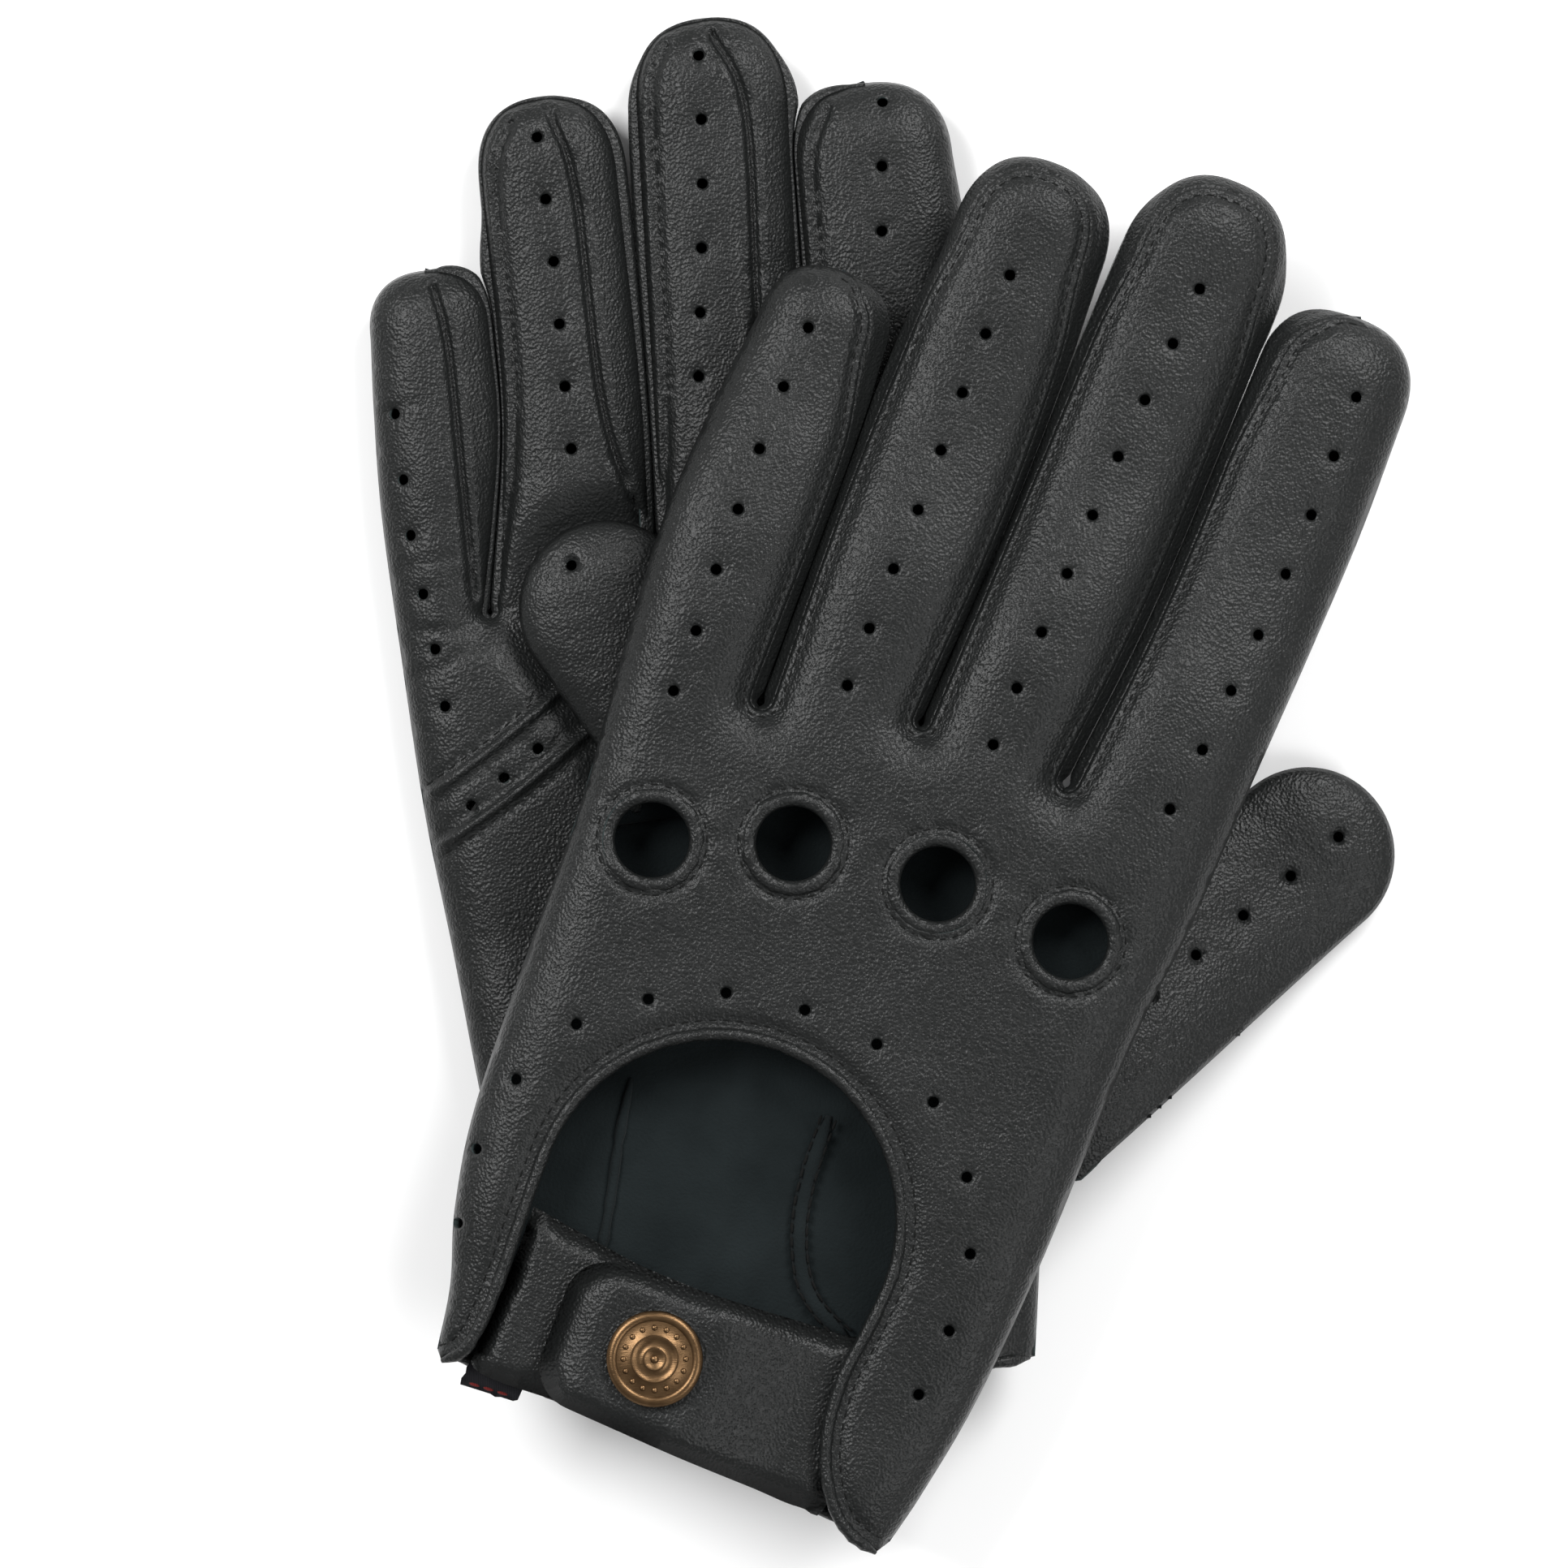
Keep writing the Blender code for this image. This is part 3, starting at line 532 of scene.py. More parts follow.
def thumb_perforations(glove):
    """A row of perforations up the thumb's upper side."""
    root, tip = (np.array(glove.thumb[k]) for k in ("root", "tip"))
    along = (tip - root) / norm(tip - root)
    if glove.back < 0:
        return [tuple(tip + along * 8.5 + (-0.6, 0.4))]
    first = tip + along * 4.8 + np.array([1.2, 0.4])
    return [tuple(first - along * 10.3 * i) for i in range(5)]


# -------- meshes

def add_piece(name, points, faces, body, materials, replaces=()):
    """A smooth-shaded mesh that rides on a body and the nodes it replaces."""
    mesh = bpy.data.meshes.new(name)
    mesh.from_pydata([tuple(p) for p in points], [], faces)
    for item in materials:
        mesh.materials.append(item)
    mesh.shade_smooth()
    piece = bpy.data.objects.new(name, mesh)
    bpy.context.scene.collection.objects.link(piece)
    if body:
        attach(piece, body)
    if replaces:
        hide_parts(*replaces)
    return piece


def tidy_points(points, cell):
    """Free points thinned so that no two share a small cell."""
    keys = np.round(points / cell).astype(int)
    _, keep = np.unique(keys, axis=0, return_index=True)
    return points[np.sort(keep)]


def triangulate(loop, holes, free, grid, keep_off):
    """Triangles over loop less holes. free are extra points that shape the surface near its features."""
    low, high = loop.min(0), loop.max(0)
    rows = np.arange(low[1], high[1], grid * 0.87)
    field = np.array([(x + (grid / 2 if i % 2 else 0), y) for i, y in enumerate(rows)
                      for x in np.arange(low[0], high[0], grid)])
    field = field[inside(loop, field)]
    ringed = np.vstack([loop, loop[:1]])
    field = field[distance(ringed, field) > grid * 0.6]
    for gap, line in keep_off:
        field = field[distance(line, field) > gap]
    if len(free):
        free = tidy_points(np.vstack(free), 0.42)
        free = free[inside(loop, free)]
        free = free[distance(ringed, free) > 0.3]
        field = np.vstack([field, free])
    for hole in holes:
        centre, radius = hole.mean(0), norm(hole[0] - hole.mean(0))
        field = field[norm(field - centre, axis=1) > radius + 0.3]
    flat, bonds = [], []
    for line in [loop, *holes]:
        first, count = len(flat), len(line)
        flat += [Vector(p) for p in line]
        bonds += [(first + i, first + (i + 1) % count) for i in range(count)]
    flat += [Vector(p) for p in field]
    cut = delaunay_2d_cdt(flat, bonds, [], 0, 1e-5)
    points = np.array([tuple(p) for p in cut[0]])
    faces = np.array([f for f in cut[2] if len(f) == 3])
    middles = points[faces].mean(1)
    keep = inside(loop, middles)
    for hole in holes:
        centre, radius = hole.mean(0), norm(hole[0] - hole.mean(0))
        near = norm(middles - centre, axis=1) < radius + 0.5
        keep[near] &= ~inside(hole, middles[near])
    return points, faces[keep]


def thicken(piece, thickness):
    """Thickness inwards. The inside takes the piece's second material and the cut edge its third."""
    solid = piece.modifiers.new("thickness", "SOLIDIFY")
    solid.thickness = thickness * MM
    solid.offset = -1
    solid.material_offset = 1
    solid.material_offset_rim = 2


def leather_sheet(name, glove, loop, height, side, replaces=(), holes=(), free=(), keep_off=(), grid=GRID):
    """A leather piece: a triangulated plan, raised by height(points) and given its thickness inwards."""
    points, faces = triangulate(loop, list(holes), list(free), grid, list(keep_off))
    if side * glove.back < 0:
        faces = faces[:, ::-1]
    placed = glove.place(points, height(points))
    piece = add_piece(name, placed, faces.tolist(), glove.body, LEATHER_SET, replaces=replaces)
    thicken(piece, LEATHER)


def closed_grid(rows, columns, close_rows=False):
    """Quads over a grid of points, closed round each row."""
    faces = []
    for i in range(rows if close_rows else rows - 1):
        for k in range(columns):
            a, b = i * columns + k, i * columns + (k + 1) % columns
            c, d = ((i + 1) % rows) * columns + (k + 1) % columns, ((i + 1) % rows) * columns + k
            faces.append((a, b, c, d))
    return faces


def tube(name, glove, line, z, radius, material, replaces=(), pucker=0.0):
    """A roll along a plan line. pucker is how unevenly it swells, and its ends taper."""
    line = np.asarray(line, float)
    centre = glove.place(line, z)
    side = np.gradient(centre, axis=0)
    side /= norm(side, axis=1)[:, None]
    across = np.cross(side, (0.0, 0.0, 1.0))
    across /= norm(across, axis=1)[:, None]
    up = np.cross(across, side)
    sections = 12
    points = []
    for i in range(len(line)):
        swell = 1 + pucker * noise.noise(Vector((i * 0.9, glove.seed, 0.0)))
        taper = min(1.0, 0.35 + 0.65 * min(i, len(line) - 1 - i) / 2)
        for k in range(sections):
            a = tau * k / sections
            reach = radius * swell * taper * MM
            points.append(centre[i] + (across[i] * cos(a) + up[i] * sin(a)) * reach)
    faces = closed_grid(len(line), sections)
    last = (len(line) - 1) * sections
    faces += [tuple(range(sections))[::-1], tuple(range(last, last + sections))]
    add_piece(name, points, faces, glove.body, [material], replaces=replaces)


def stitch_row(name, glove, lines, height, material=None, lift=0.05):
    """Stitches along plan lines: short slack threads that lie in the seam."""
    points, faces = [], []
    for line in lines:
        path = resample(line, PITCH)
        if len(path) < 3:
            continue
        middle = (path[1:] + path[:-1]) / 2
        along = path[1:] - path[:-1]
        along /= norm(along, axis=1)[:, None]
        ends = [middle - along * STITCH_LENGTH / 2, middle, middle + along * STITCH_LENGTH / 2]
        heights = [height(end) for end in ends]
        sign = 1 if heights[1].mean() > 0 else -1
        heights = [heights[0] - sign * STITCH_SINK, heights[1] + sign * lift,
                   heights[2] - sign * STITCH_SINK]
        rings = [glove.place(end, z) for end, z in zip(ends, heights)]
        for a, b, c in zip(*rings):
            forward = (c - a) / (norm(c - a) + 1e-12)
            across = np.cross(forward, (0.0, 0.0, 1.0))
            across /= norm(across)
            up = np.cross(across, forward)
            first = len(points)
            for centre, thick in ((a, 0.35), ((a + b) / 2, 1.0), ((b + c) / 2, 1.0), (c, 0.35)):
                for k in range(STITCH_SIDES):
                    t = tau * k / STITCH_SIDES
                    radius = STITCH_RADIUS * thick * MM
                    points.append(centre + (across * cos(t) + up * sin(t)) * radius)
            last = first + 3 * STITCH_SIDES
            faces += [tuple(first + i for i in face) for face in closed_grid(4, STITCH_SIDES)]
            faces += [tuple(range(first, first + STITCH_SIDES))[::-1],
                      tuple(range(last, last + STITCH_SIDES))]
    return add_piece(name, points, faces, glove.body, [material or THREAD])


# -------- materials

def shader(name, colour, roughness, metallic=0.0, specular=0.5, sheen=0.0):
    made = bpy.data.materials.new(name)
    made.use_nodes = True
    tree = made.node_tree
    base = tree.nodes["Principled BSDF"]
    base.inputs["Base Color"].default_value = (*colour, 1.0)
    base.inputs["Roughness"].default_value = roughness
    base.inputs["Metallic"].default_value = metallic
    base.inputs["Specular IOR Level"].default_value = specular
    base.inputs["Sheen Weight"].default_value = sheen
    made.diffuse_color = (*colour, 1.0)
    return made, tree, base


def texture(tree, kind, scale, detail=None, stretch=(1, 1, 1)):
    place = tree.nodes.new("ShaderNodeTexCoord")
    scaled = tree.nodes.new("ShaderNodeMapping")
    scaled.inputs["Scale"].default_value = stretch
    tree.links.new(place.outputs["Object"], scaled.inputs["Vector"])
    made = tree.nodes.new(kind)
    made.inputs["Scale"].default_value = scale
    if detail is not None:
        made.inputs["Detail"].default_value = detail
    tree.links.new(scaled.outputs["Vector"], made.inputs["Vector"])
    return made


def ramp(tree, source, low, high):
    """A value spread from low to high."""
    made = tree.nodes.new("ShaderNodeMapRange")
    made.inputs["To Min"].default_value = low
    made.inputs["To Max"].default_value = high
    tree.links.new(source, made.inputs["Value"])
    return made.outputs["Result"]


def mixed_colour(tree, base, factor, low, high):
    mix = tree.nodes.new("ShaderNodeMix")
    mix.data_type = "RGBA"
    mix.inputs["A"].default_value = (*low, 1.0)
    mix.inputs["B"].default_value = (*high, 1.0)
    tree.links.new(factor, mix.inputs["Factor"])
    tree.links.new(mix.outputs["Result"], base.inputs["Base Color"])


def add_bump(tree, base, heights, depth, strength=1.0):
    """Bump from the weighted sum of several outputs."""
    total = None
    for source, weight in heights:
        part = tree.nodes.new("ShaderNodeMath")
        part.operation = "MULTIPLY_ADD"
        part.inputs[1].default_value = weight
        tree.links.new(source, part.inputs[0])
        if total is None:
            part.inputs[2].default_value = 0.0
        else:
            tree.links.new(total, part.inputs[2])
        total = part.outputs[0]
    made = tree.nodes.new("ShaderNodeBump")
    made.inputs["Distance"].default_value = depth * MM
    made.inputs["Strength"].default_value = strength
    tree.links.new(total, made.inputs["Height"])
    tree.links.new(made.outputs["Normal"], base.inputs["Normal"])


def leather_material():
    """Fine pebbled hair-sheep leather, near black with a little green."""
    made, tree, base = shader("dark_leather_grain", (0.008, 0.0086, 0.0085), 0.4, specular=0.23)
    cells = texture(tree, "ShaderNodeTexVoronoi", 2200)
    cells.feature = "SMOOTH_F1"
    fine = texture(tree, NOISE, 2600, 2)
    creases = texture(tree, NOISE, 330, 4)
    patches = texture(tree, NOISE, 55, 3)
    mixed_colour(tree, base, patches.outputs["Fac"], (0.0060, 0.0066, 0.0065), (0.0098, 0.0105, 0.0104))
    tree.links.new(ramp(tree, creases.outputs["Fac"], 0.31, 0.44), base.inputs["Roughness"])
    add_bump(tree, base, ((cells.outputs["Distance"], 1.0), (fine.outputs["Fac"], 0.35),
                          (creases.outputs["Fac"], 0.35)), 0.17)
    return made


def suede_material():
    """The napped inside of the leather, a dark teal grey."""
    made, tree, base = shader("dark_suede", (0.008, 0.0105, 0.011), 0.95, specular=0.06, sheen=0.03)
    base.inputs["Sheen Roughness"].default_value = 0.6
    nap = texture(tree, NOISE, 1900, 5)
    patches = texture(tree, NOISE, 85, 4)
    mixed_colour(tree, base, patches.outputs["Fac"], (0.0035, 0.0052, 0.0056), (0.0125, 0.0165, 0.0175))
    add_bump(tree, base, ((nap.outputs["Fac"], 1.0), (patches.outputs["Fac"], 0.7)), 0.3, 0.8)
    return made


def raw_edge_material():
    made, tree, base = shader("raw_leather_edge", (0.018, 0.026, 0.026), 0.85, specular=0.2)
    fibres = texture(tree, NOISE, 2400, 3)
    mixed_colour(tree, base, fibres.outputs["Fac"], (0.009, 0.014, 0.014), (0.030, 0.042, 0.042))
    add_bump(tree, base, ((fibres.outputs["Fac"], 1.0),), 0.15)
    return made


def thread_material():
    made, tree, base = shader("black_thread", (0.004, 0.0042, 0.004), 0.7, specular=0.15)
    twist = texture(tree, WAVE, 2500, 0)
    mixed_colour(tree, base, twist.outputs["Fac"], (0.002, 0.0022, 0.0022), (0.007, 0.0075, 0.007))
    add_bump(tree, base, ((twist.outputs["Fac"], 1.0),), 0.06)
    return made


def brass_material():
    """Antique brass, bright in some patches and brown in others, spread at random."""
    made, tree, base = shader("aged_brass", (0.16, 0.095, 0.045), 0.36, 1.0)
    stain = texture(tree, NOISE, 420, 5)
    brush = texture(tree, NOISE, 900, 3, (1, 7, 1))
    mixed_colour(tree, base, stain.outputs["Fac"], (0.055, 0.032, 0.016), (0.20, 0.120, 0.060))
    tree.links.new(ramp(tree, brush.outputs["Fac"], 0.26, 0.46), base.inputs["Roughness"])
    add_bump(tree, base, ((brush.outputs["Fac"], 1.0),), 0.03)
    return made


def cloth_material(name, low, high):
    made, tree, base = shader(name, high, 0.85, specular=0.2)
    weave = texture(tree, WAVE, 1500, 0)
    mixed_colour(tree, base, weave.outputs["Fac"], low, high)
    add_bump(tree, base, ((weave.outputs["Fac"], 1.0),), 0.08)
    return made


# -------- pieces

def feature_points(glove, from_rim, from_edge):
    """Rows of points that follow the folds and the seams."""
    free = []
    for name, first, last in glove.spans:
        if name.endswith("_fold"):
            free += [glove.moved_in(first, last, gap) for gap in (0.12, 0.45, 1.0, 1.8, 2.8)]
        else:
            free += [glove.in_from_rim(first, last, gap) for gap in from_rim]
            free += [glove.moved_in(first, last, gap) for gap in from_edge]
    return free


def hole_points(centres, radii, counts):
    return [circle(c, r, n) for c in centres for r, n in zip(radii, counts)]


def back_panel(glove):
    loop = glove.edge + glove.edge_normals * glove.rims[:, None]
    key = glove.keyhole - normals(glove.keyhole) * 0.25
    loop = np.vstack([loop, key[::-1]])
    holes = [circle(c, PANEL_HOLE, 48) for c in KNUCKLES]
    holes += [circle(c, PERFORATION, PERFORATION_SIDES) for c in BACK_PERFORATIONS]
    free = feature_points(glove, (0.6, STITCH_IN, STITCH_IN + 0.7), ())
    free += hole_points(KNUCKLES, (8.5, RIM_STITCH, 9.7), (52, 56, 58))
    free += hole_points(BACK_PERFORATIONS, PERFORATION_RINGS, (PERFORATION_SIDES, PERFORATION_SIDES))
    free += [glove.keyhole - normals(glove.keyhole) * gap for gap in (1.2, BINDING_STITCH, 3.1)]
    keep_off = [(3.4, glove.edge), (3.8, glove.keyhole)]
    keep_off += [(2.5, np.array([c, c])) for c in BACK_PERFORATIONS]
    leather_sheet(glove.name + "_back_leather", glove, loop, lambda p: back_height(glove, p), 1,
                  [glove.name + "_back_panel"], holes, free, keep_off)
    lines = list(glove.stitches)
    lines.append(glove.keyhole - normals(glove.keyhole) * BINDING_STITCH)
    for centre in KNUCKLES:
        ring = circle(centre, RIM_STITCH, 60)
        lines.append(np.vstack([ring, ring[:1]]))
    stitch_row(glove.name + "_back_stitches", glove, lines, lambda p: back_height(glove, p))


def palm_panel(glove):
    loop = glove.edge + glove.edge_normals * np.minimum(glove.rims, PALM_EDGE)[:, None]
    start, end = glove.edge[-1], glove.edge[0]
    wrist = smooth([(start[0] - 1.0, start[1]), ((start[0] + end[0]) / 2, glove.wrist),
                    (end[0] + 1.0, end[1])], STEP)
    loop = np.vstack([loop, wrist])
    holes = [circle(glove.thumb["hole"], THUMB_HOLE, 40)]
    holes += [circle(c, PERFORATION, PERFORATION_SIDES) for c in PALM_PERFORATIONS]
    free = feature_points(glove, (), (0.6, 1.1, 1.8, 2.6))
    free += hole_points(PALM_PERFORATIONS, PERFORATION_RINGS, (PERFORATION_SIDES, PERFORATION_SIDES))
    keep_off = [(3.2, glove.edge)] + [(2.5, np.array([c, c])) for c in PALM_PERFORATIONS]
    for line, _ in palm_creases(glove):
        free += [line + normals(line) * gap for gap in (-1.2, -0.6, 0.0, 0.6, 1.2)]
        keep_off.append((1.8, line))
    for line in band_lines(glove):
        free += [line + normals(line) * gap for gap in (-1.5, -0.8, -0.35, 0.0, 0.35, 0.8, 1.5)]
        keep_off.append((2.1, line))
    replaced = [glove.name + "_palm_panel", glove.name + "_palm_band"]
    leather_sheet(glove.name + "_palm_leather", glove, loop, lambda p: palm_height(glove, p), -1,
                  replaced, holes, free, keep_off)
    lines = [line + normals(line) * side * 1.5 for line, side in zip(band_lines(glove), (1, -1))]
    stitch_row(glove.name + "_band_stitches", glove, lines, lambda p: palm_height(glove, p))
    wrist_roll = np.array(wrist)
    tube(glove.name + "_wrist_binding", glove, wrist_roll, palm_height(glove, wrist_roll, False) + 0.6, 1.0,
         LEATHER_SHADER, [glove.name + "_palm_hem"], 0.25)


def fourchettes(glove):
    """The side walls of the fingers, bowed out between the back's seam and the palm's to close the slits."""

    def high(gap):
        return HALF_DEPTH * crown(gap, EDGE_ROUND)

    for name, first, last in glove.spans:
        if name.endswith("_fold"):
            continue
        rim = glove.rims[first:last + 1]
        facing = glove.edge[slice(*glove.facing(name))]
        slit = distance(facing, glove.edge[first:last + 1])
        bow = np.minimum(0.5 * slit, 1.35) * (1 - ease((slit - 3.0) / 9.0)) * np.minimum(rim / SIDE_EDGE, 1.0)
        wave = 0.12 * waves(glove.edge[first:last + 1], 7, glove.seed + 2)
        level = np.zeros(len(rim))
        # (distance inside the outline, height) from under the back's cut edge to inside the palm's
        rows = [(rim + 1.3, high(rim + 1.3) - 1.05), (rim + 0.35, high(rim + 0.35) - 0.95),
                (rim, high(rim) - 0.55), (rim * 0.6, high(rim * 0.6) * 0.85),
                (rim * 0.25, high(rim * 0.25) * 0.8), (wave, high(rim * 0.1) * 0.4),
                (wave - 0.05 - bow * 0.8, level - 0.3), (0.05 - bow, level - 1.1),
                (0.3 - bow * 0.6, level - 2.0), (level + 0.8, level - 1.6), (level + 1.6, level - 2.2)]
        points = [glove.place(glove.moved_in(first, last, gap[:, None]), z) for gap, z in rows]
        points = np.array(points).transpose(1, 0, 2).reshape(-1, 3)
        width = len(rows)
        faces = []
        for i in range(len(rim) - 1):
            for k in range(width - 1):
                a, b = i * width + k, (i + 1) * width + k
                faces.append((a, a + 1, b + 1, b) if glove.back < 0 else (a, b, b + 1, a + 1))
        piece = add_piece(f"{glove.name}_{name}_gusset", points, faces, glove.body, LEATHER_SET,
                          replaces=[f"{glove.name}_{name}_fourchette"])
        thicken(piece, GUSSET_LEATHER)


def knuckle_rims(glove):
    """A puckered roll of leather round each knuckle hole."""
    proud = 0.35 if glove.back > 0 else -0.1
    for name, centre in zip(KNUCKLE_NAMES, KNUCKLES):
        around, section = 96, 14
        flat, z = [], []
        for i in range(around):
            turn = tau * i / around
            crimp = noise.noise(Vector((cos(turn) * 4.2, sin(turn) * 4.2, centre[0])))
            middle = RIM_MIDDLE + 0.12 * crimp
            at = back_height(glove, circle(centre, 9.6, around)[i:i + 1], False)[0]
            for k in range(section):
                a = tau * k / section
                reach = middle + RIM_WIDE * cos(a) * (1 + 0.1 * crimp)
                flat.append((centre[0] + reach * cos(turn), centre[1] + reach * sin(turn)))
                z.append(at - RIM_HIGH + proud + RIM_HIGH * sin(a) * (1 + 0.18 * crimp))
        faces = closed_grid(around, section, close_rows=True)
        if glove.back > 0:
            faces = [face[::-1] for face in faces]
        add_piece(f"{glove.name}_{name}_rolled_rim", glove.place(flat, np.array(z)), faces, glove.body,
                  [LEATHER_SHADER], replaces=[f"{glove.name}_{name}_knuckle_rim"])


def keyhole_roll(glove):
    line = glove.keyhole
    z = np.maximum(back_height(glove, line, False), 2.2) - 0.75
    tube(glove.name + "_keyhole_roll", glove, line, z, BINDING_RADIUS, LEATHER_SHADER,
         [glove.name + "_keyhole_binding"], 0.22)


def thumb(glove):
    """Both halves of the thumb."""
    whole = thumb_outline(glove)[::-1]
    holes = [circle(c, PERFORATION, PERFORATION_SIDES) for c in thumb_perforations(glove)]
    ring = np.vstack([whole, whole[:1]])
    rows = [whole + normals(ring)[:-1] * gap for gap in (0.15, 0.6, 1.3, 2.2, 3.2)]
    keep_off = [(3.6, ring)]
    outer_holes = holes if glove.back < 0 else []
    leather_sheet(glove.name + "_thumb_outer_leather", glove, whole, lambda p: thumb_height(glove, p, -1), -1,
                  [glove.name + "_thumb_outer"], outer_holes, rows, keep_off, THUMB_GRID)
    short = thumb_outline(glove, glove.thumb["cut"])[::-1]
    inner_holes = [h for h in holes if inside(short, h).all()] if glove.back > 0 else []
    leather_sheet(glove.name + "_thumb_inner_leather", glove, short, lambda p: thumb_height(glove, p, 1), 1,
                  [glove.name + "_thumb_inner"], inner_holes, rows, keep_off, THUMB_GRID)


def strap_top(x):
    rise = (SNAP_TOP - ROOT_TOP) * ease((HINGE_X - x) / 20.0)
    return ROOT_TOP + rise - TIP_DROP * ease((-16.0 - x) / 8.0)


def flap_top(x):
    return FLAP_TOP + (ROOT_TOP - FLAP_TOP) * ease((-18.0 - x) / 12.0)


def turned_pad(name, glove, outline, top, thickness, round_edge, replaces):
    """A flat strap with turned, softly rounded edges: a closed form that rides on no body yet."""
    loop = resample(smooth(outline + outline[:1], 0.5), STEP)[:-1][::-1]
    ring = np.vstack([loop, loop[:1]])
    rows = [loop + normals(ring)[:-1] * gap for gap in (0.35, 0.75, 1.3, 2.0, 2.7)]
    points, faces = triangulate(loop, [circle(SNAP_CENTRE, SNAP_HOLE, 16)], rows, 1.3, [(3.3, ring)])
    away = norm(points - np.array(SNAP_CENTRE), axis=1)
    gap = np.minimum(distance(ring, points), np.maximum(away - SNAP_HOLE, 0) + 0.4)
    dimple = 0.5 * bump(away - 8.6, 2.0)
    soft = 0.16 * waves(points, 12, glove.seed + 31)
    ridge = 0.3 * bump(distance(ring, points) - 2.0, 1.0)
    full = crown(gap, round_edge) * thickness / 2
    middle = top(points[:, 0]) - thickness / 2
    upper = glove.place(points, middle + full + (ridge - dimple + soft) * crown(gap, round_edge))
    lower = glove.place(points, middle - full)
    count = len(points)
    high, low = faces, faces[:, ::-1] + count
    if glove.back < 0:
        high, low = high[:, ::-1], low[:, ::-1]
    piece = add_piece(name, np.vstack([upper, lower]), high.tolist() + low.tolist(), None, [LEATHER_SHADER],
                      replaces=replaces)
    weld = piece.modifiers.new("rim", "WELD")
    weld.merge_threshold = 0.00002
    return piece


def straps(glove):
    """The flap that carries the stud, and the tab with its root in one piece."""
    flap = [(-34.4, -71.0), (-16.0, -73.6), (2.0, -75.4), (2.6, -86.0), (2.0, -98.6), (-16.0, -99.2),
            (-33.0, -99.6), (-34.6, -95.0), (-34.2, -84.0)]
    base = turned_pad(glove.name + "_strap_base", glove, flap, flap_top, FLAP_THICKNESS, 0.6,
                      [glove.name + "_strap_flap"])
    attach(base, glove.body)
    quarter = [pi * i / 24 for i in range(13)]
    foot = [(-17.5 - STRAP_CORNER * sin(a), -92.6 - STRAP_CORNER * cos(a)) for a in quarter]
    end = [(-17.5 - STRAP_CORNER * cos(a), -81.6 + STRAP_CORNER * sin(a)) for a in quarter]
    outline = [*foot, *end, (-8.0, -74.0), (4.0, -73.4), (20.0, -72.6), (28.0, -72.6), (28.0, -99.0),
               (24.0, -101.4), (15.0, -101.2), (6.0, -100.8), (-6.0, -100.2)]
    tab = turned_pad(glove.name + "_strap", glove, outline, strap_top, STRAP_THICKNESS, 1.1,
                     [glove.name + "_strap_tab", glove.name + "_strap_root"])
    middle = strap_top(np.array([HINGE_X]))
    start = glove.place([(HINGE_X + BEND_HALF, HINGE_Y)], middle)[0]
    stop = glove.place([(HINGE_X - BEND_HALF, HINGE_Y)], middle)[0]
    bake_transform(tab)


def turned(name, glove, profile, body, replaces, extra=()):
    """A metal piece turned on the snap's axis from (radius, z) pairs. extra: (radius, turn, z, size) dots."""
    steps = 72
    centre = glove.plan(np.array([SNAP_CENTRE]))[0]
    base = glove.lift(np.array([SNAP_CENTRE]))[0]
    points = []
    for r, z in profile:
        for i in range(steps):
            a = tau * i / steps
            points.append(((centre[0] + r * cos(a)) * MM, (centre[1] + r * sin(a)) * MM,
                           (base + glove.back * z) * MM))
    faces = closed_grid(len(profile), steps, close_rows=profile[0][0] > 0.1)
    if glove.back > 0:
        faces = [face[::-1] for face in faces]
    for r, turn, z, size in extra:
        first = len(points)
        for k in range(4):
            for i in range(10):
                a = tau * i / 10
                rise = sin(pi / 2 * k / 3)
                wide = size * cos(pi / 2 * k / 3) + 0.01
                x = centre[0] + r * cos(turn) + wide * cos(a)
                y = centre[1] + r * sin(turn) + wide * sin(a)
                points.append((x * MM, y * MM, (base + glove.back * (z + rise * size * 0.6)) * MM))
        dome = closed_grid(4, 10)
        faces += [tuple(first + i for i in (face if glove.back > 0 else face[::-1])) for face in dome]
    piece = add_piece(name, points, faces, body, [BRASS], replaces)
    piece.data.set_sharp_from_angle(angle=radians(45))


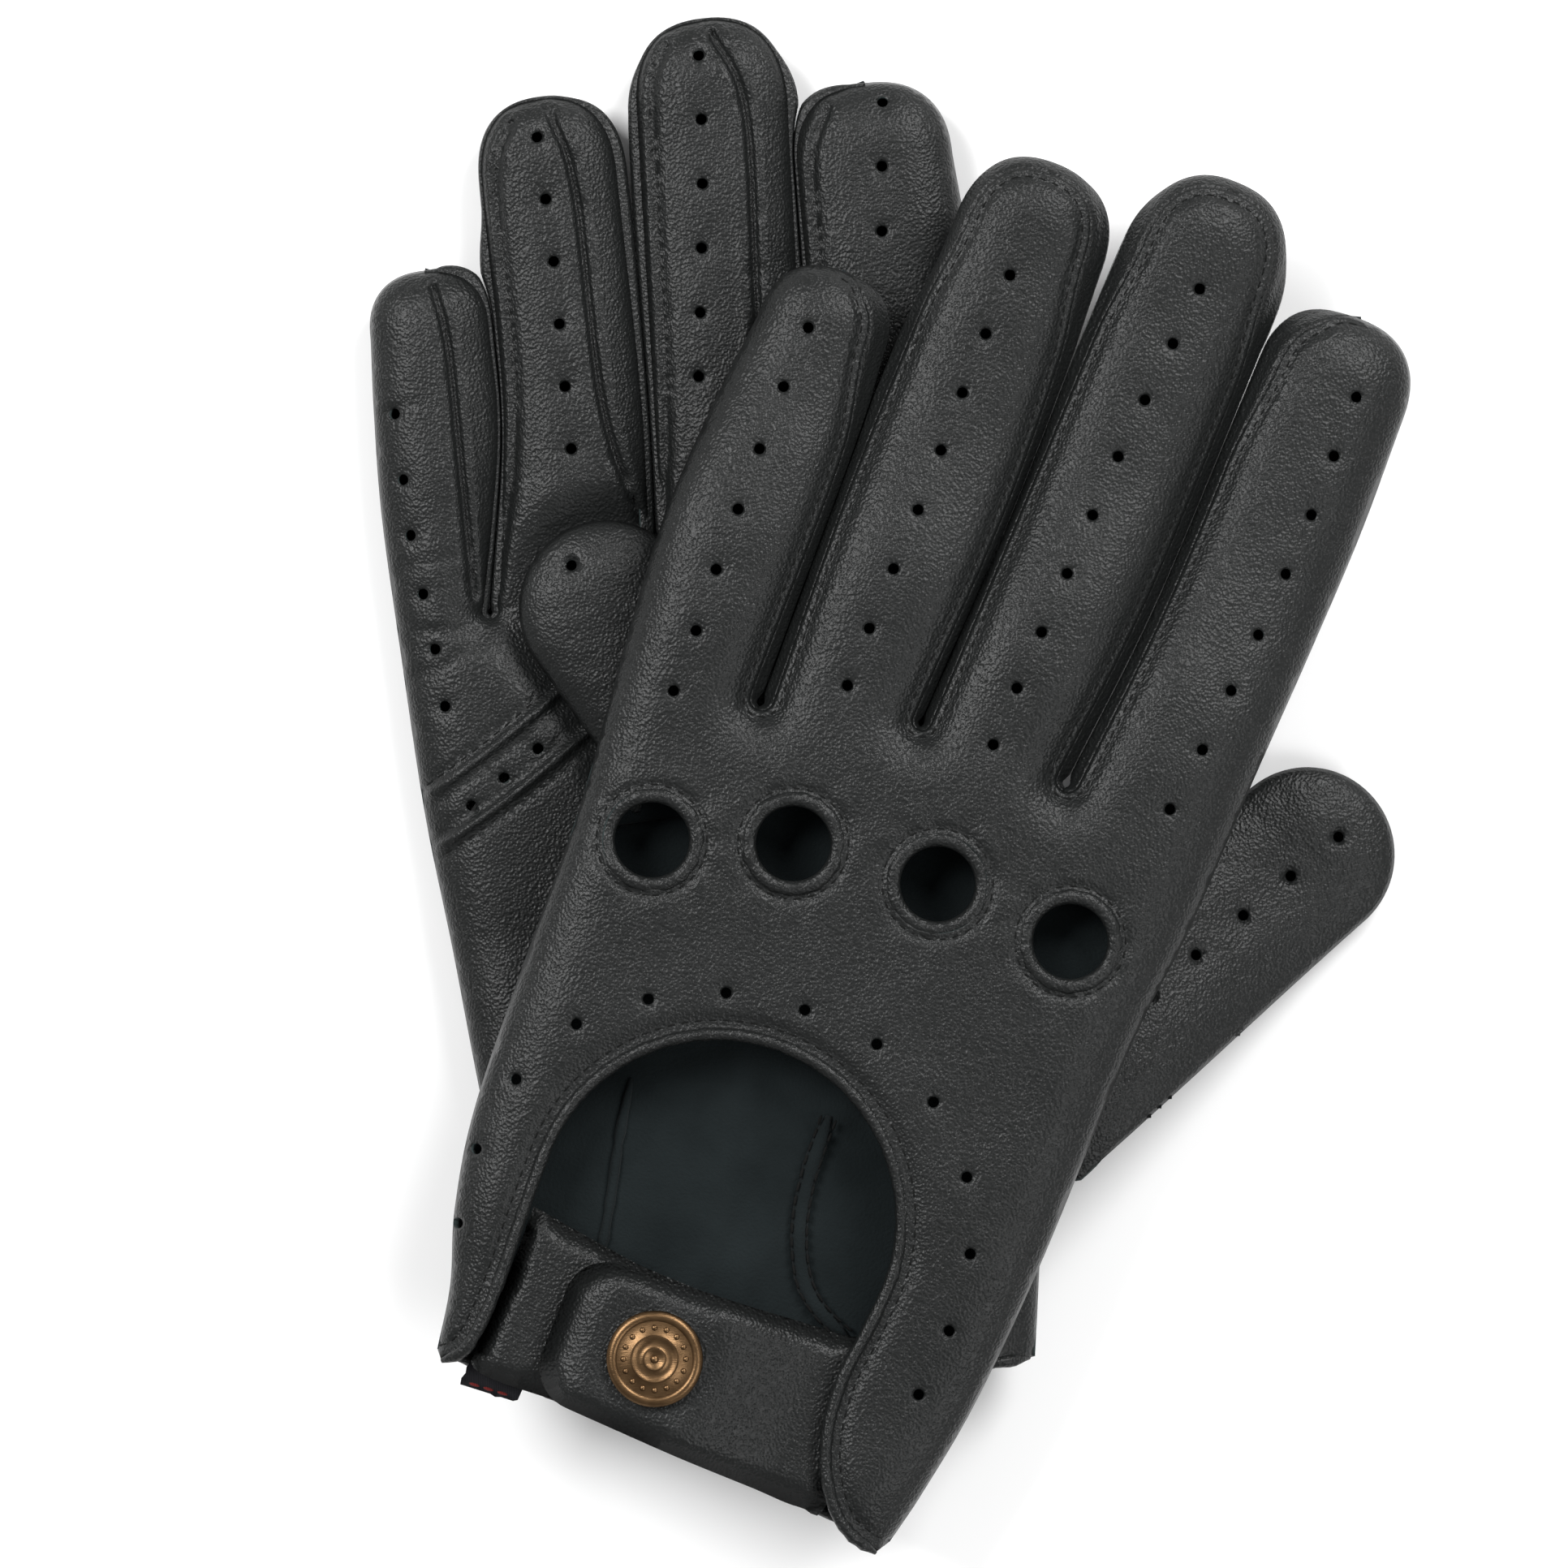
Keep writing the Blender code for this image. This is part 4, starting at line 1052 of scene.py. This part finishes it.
def snap(glove):
    """A plain domed cap with rings and dots, and the hidden parts of the snap."""
    dome = [(0.02, 9.35), (1.3, 9.34), (1.5, 9.5), (1.8, 9.5), (2.0, 9.3), (3.3, 9.27), (3.5, 9.45),
            (3.8, 9.45), (4.0, 9.24), (6.2, 9.1), (6.4, 9.3), (6.75, 9.45), (7.2, 9.4), (7.7, 9.1),
            (7.9, 8.7), (7.75, 8.3), (7.3, 8.1), (1.2, 8.1), (1.2, 6.5), (0.02, 6.5)]
    dots = [(5.1, tau * i / 16, 9.12, 0.5) for i in range(16)] + [(0.0, 0.0, 9.3, 0.7)]
    turned(glove.name + "_snap_cap_domed", glove, dome, glove.tab_body, [glove.name + "_snap_cap"], dots)
    turned(glove.name + "_snap_socket_ring", glove,
           [(2.8, 5.75), (2.8, 4.4), (3.0, 4.2), (5.0, 4.2), (5.3, 4.5), (5.4, 5.0), (5.3, 5.7), (5.0, 6.1),
            (0.02, 6.1), (0.02, 5.75)][::-1], glove.tab_body, [glove.name + "_snap_socket"])
    turned(glove.name + "_snap_stud_post", glove,
           [(0.02, 5.4), (1.6, 5.35), (2.2, 5.15), (2.4, 4.8), (2.3, 4.4), (2.0, 4.1), (2.1, 3.9),
            (4.0, 3.85), (4.2, 3.65), (4.1, 3.4), (1.2, 3.4), (1.2, 0.9), (0.02, 0.9)], glove.body,
           [glove.name + "_snap_stud"])
    turned(glove.name + "_snap_washer_ring", glove,
           [(1.6, 1.5), (4.0, 1.5), (4.2, 1.3), (4.2, 1.1), (4.0, 0.9), (1.6, 0.9)], glove.body,
           [glove.name + "_snap_washer"])


def label(glove):
    """A plain black woven label that shows past the hem, held by a red thread."""
    loop = resample([(-35.2, -102.8), (-25.5, -102.2), (-25.0, -94.0), (-34.6, -94.0), (-35.2, -102.8)],
                    1.0)[:-1][::-1]
    points, faces = triangulate(loop, [], [], 1.0, [])
    z = -1.2 + 0.25 * waves(points, 5, 1.0)
    piece = add_piece("left_woven_label", glove.place(points, z), faces.tolist(), glove.body, [LABEL],
                      ["left_label"])
    solid = piece.modifiers.new("thickness", "SOLIDIFY")
    solid.thickness = 0.4 * MM
    lines = [np.array([(-34.2, -102.0), (-27.0, -101.5)])]
    thread = stitch_row("left_label_thread", glove, lines, lambda p: np.full(len(p), 0.15), RED_THREAD, 0.1)


def thumb_seam_inside(glove):
    """The curved double stitching of the thumb's seam, seen inside the palm."""
    outer = smooth([(6.8, -40.0), (7.0, -49.0), (8.0, -56.0), (10.0, -62.0), (13.0, -67.0), (17.0, -70.0),
                    (22.0, -72.0)], 2.0)
    line = np.array(outer)

    def floor(points):
        return palm_height(glove, points) + LEATHER + 0.5

    roll = line + normals(line) * 1.15
    tube(glove.name + "_thumb_welt", glove, roll, floor(roll) - 0.35, 1.4, SUEDE, (), 0.2)
    rows = [line - normals(line) * 0.1, line + normals(line) * 2.4]
    stitch_row(glove.name + "_thumb_seam_stitches", glove, rows, lambda p: floor(p) + 0.55)


def side_seam_inside(glove):
    """The seam allowance down the little finger's side of the palm, a suede ridge."""
    line = np.array(smooth([(-27.0, -46.0), (-25.5, -55.0), (-23.0, -66.0), (-21.0, -76.0)], 2.0))
    z = palm_height(glove, line) + LEATHER + 0.35
    tube(glove.name + "_palm_lining_edge", glove, line, z, 0.8, SUEDE, (), 0.4)


def build(glove):
    for make in (back_panel, palm_panel, fourchettes, knuckle_rims, keyhole_roll, thumb, straps, snap,
                 thumb_seam_inside, side_seam_inside):
        make(glove)


# -------- floor, lights and camera

def look_at(thing, target):
    thing.rotation_euler = (Vector(target) - thing.location).to_track_quat("-Z", "Y").to_euler()


def softbox(name, place, size, power, target=(0.0, 0.0, 0.0)):
    data = bpy.data.lights.new(name, "AREA")
    data.shape = "RECTANGLE"
    data.size, data.size_y = size
    data.energy = power
    thing = bpy.data.objects.new(name, data)
    bpy.context.scene.collection.objects.link(thing)
    thing.location = place
    look_at(thing, target)


def stage():
    bpy.ops.mesh.primitive_plane_add(size=6, location=(0, 0, -0.0006))
    floor = bpy.context.object
    floor.name = "floor"
    paper, _, _ = shader("pale_paper", (0.9, 0.9, 0.9), 0.9, specular=0.1)
    floor.data.materials.append(paper)
    world = bpy.data.worlds.new("studio")
    bpy.context.scene.world = world
    world.use_nodes = True
    world.node_tree.nodes["Background"].inputs["Color"].default_value = (1, 1, 1, 1)
    world.node_tree.nodes["Background"].inputs["Strength"].default_value = 0.36
    softbox("key", (-0.72, 0.45, 1.05), (0.55, 0.55), 17)
    softbox("right", (0.62, 0.75, 0.95), (0.6, 0.6), 17)
    softbox("fill", (0.75, -0.55, 1.0), (0.6, 0.6), 6)
    bpy.context.scene.view_settings.view_transform = "Standard"
    bpy.context.scene.view_settings.exposure = 0.0


def camera():
    data = bpy.data.cameras.new("camera")
    data.lens, data.sensor_width = LENS, SENSOR
    data.clip_start, data.clip_end = 0.01, 20
    thing = bpy.data.objects.new("camera", data)
    bpy.context.scene.collection.objects.link(thing)
    away = VIEW_WIDTH * LENS / SENSOR
    thing.location = (VIEW_CENTRE[0] * MM, VIEW_CENTRE[1] * MM, (VIEW_PLANE + away) * MM)
    bpy.context.scene.camera = thing


LEATHER_SHADER = leather_material()
SUEDE = suede_material()
RAW = raw_edge_material()
LEATHER_SET = [LEATHER_SHADER, SUEDE, RAW]
THREAD = thread_material()
BRASS = brass_material()
LABEL = cloth_material("black_woven_cloth", (0.006, 0.006, 0.008), (0.02, 0.02, 0.023))
RED_THREAD = cloth_material("red_thread", (0.07, 0.008, 0.008), (0.16, 0.015, 0.012))

camera()
stage()
LEFT = left_glove()
build(LEFT)
label(LEFT)
build(right_glove())
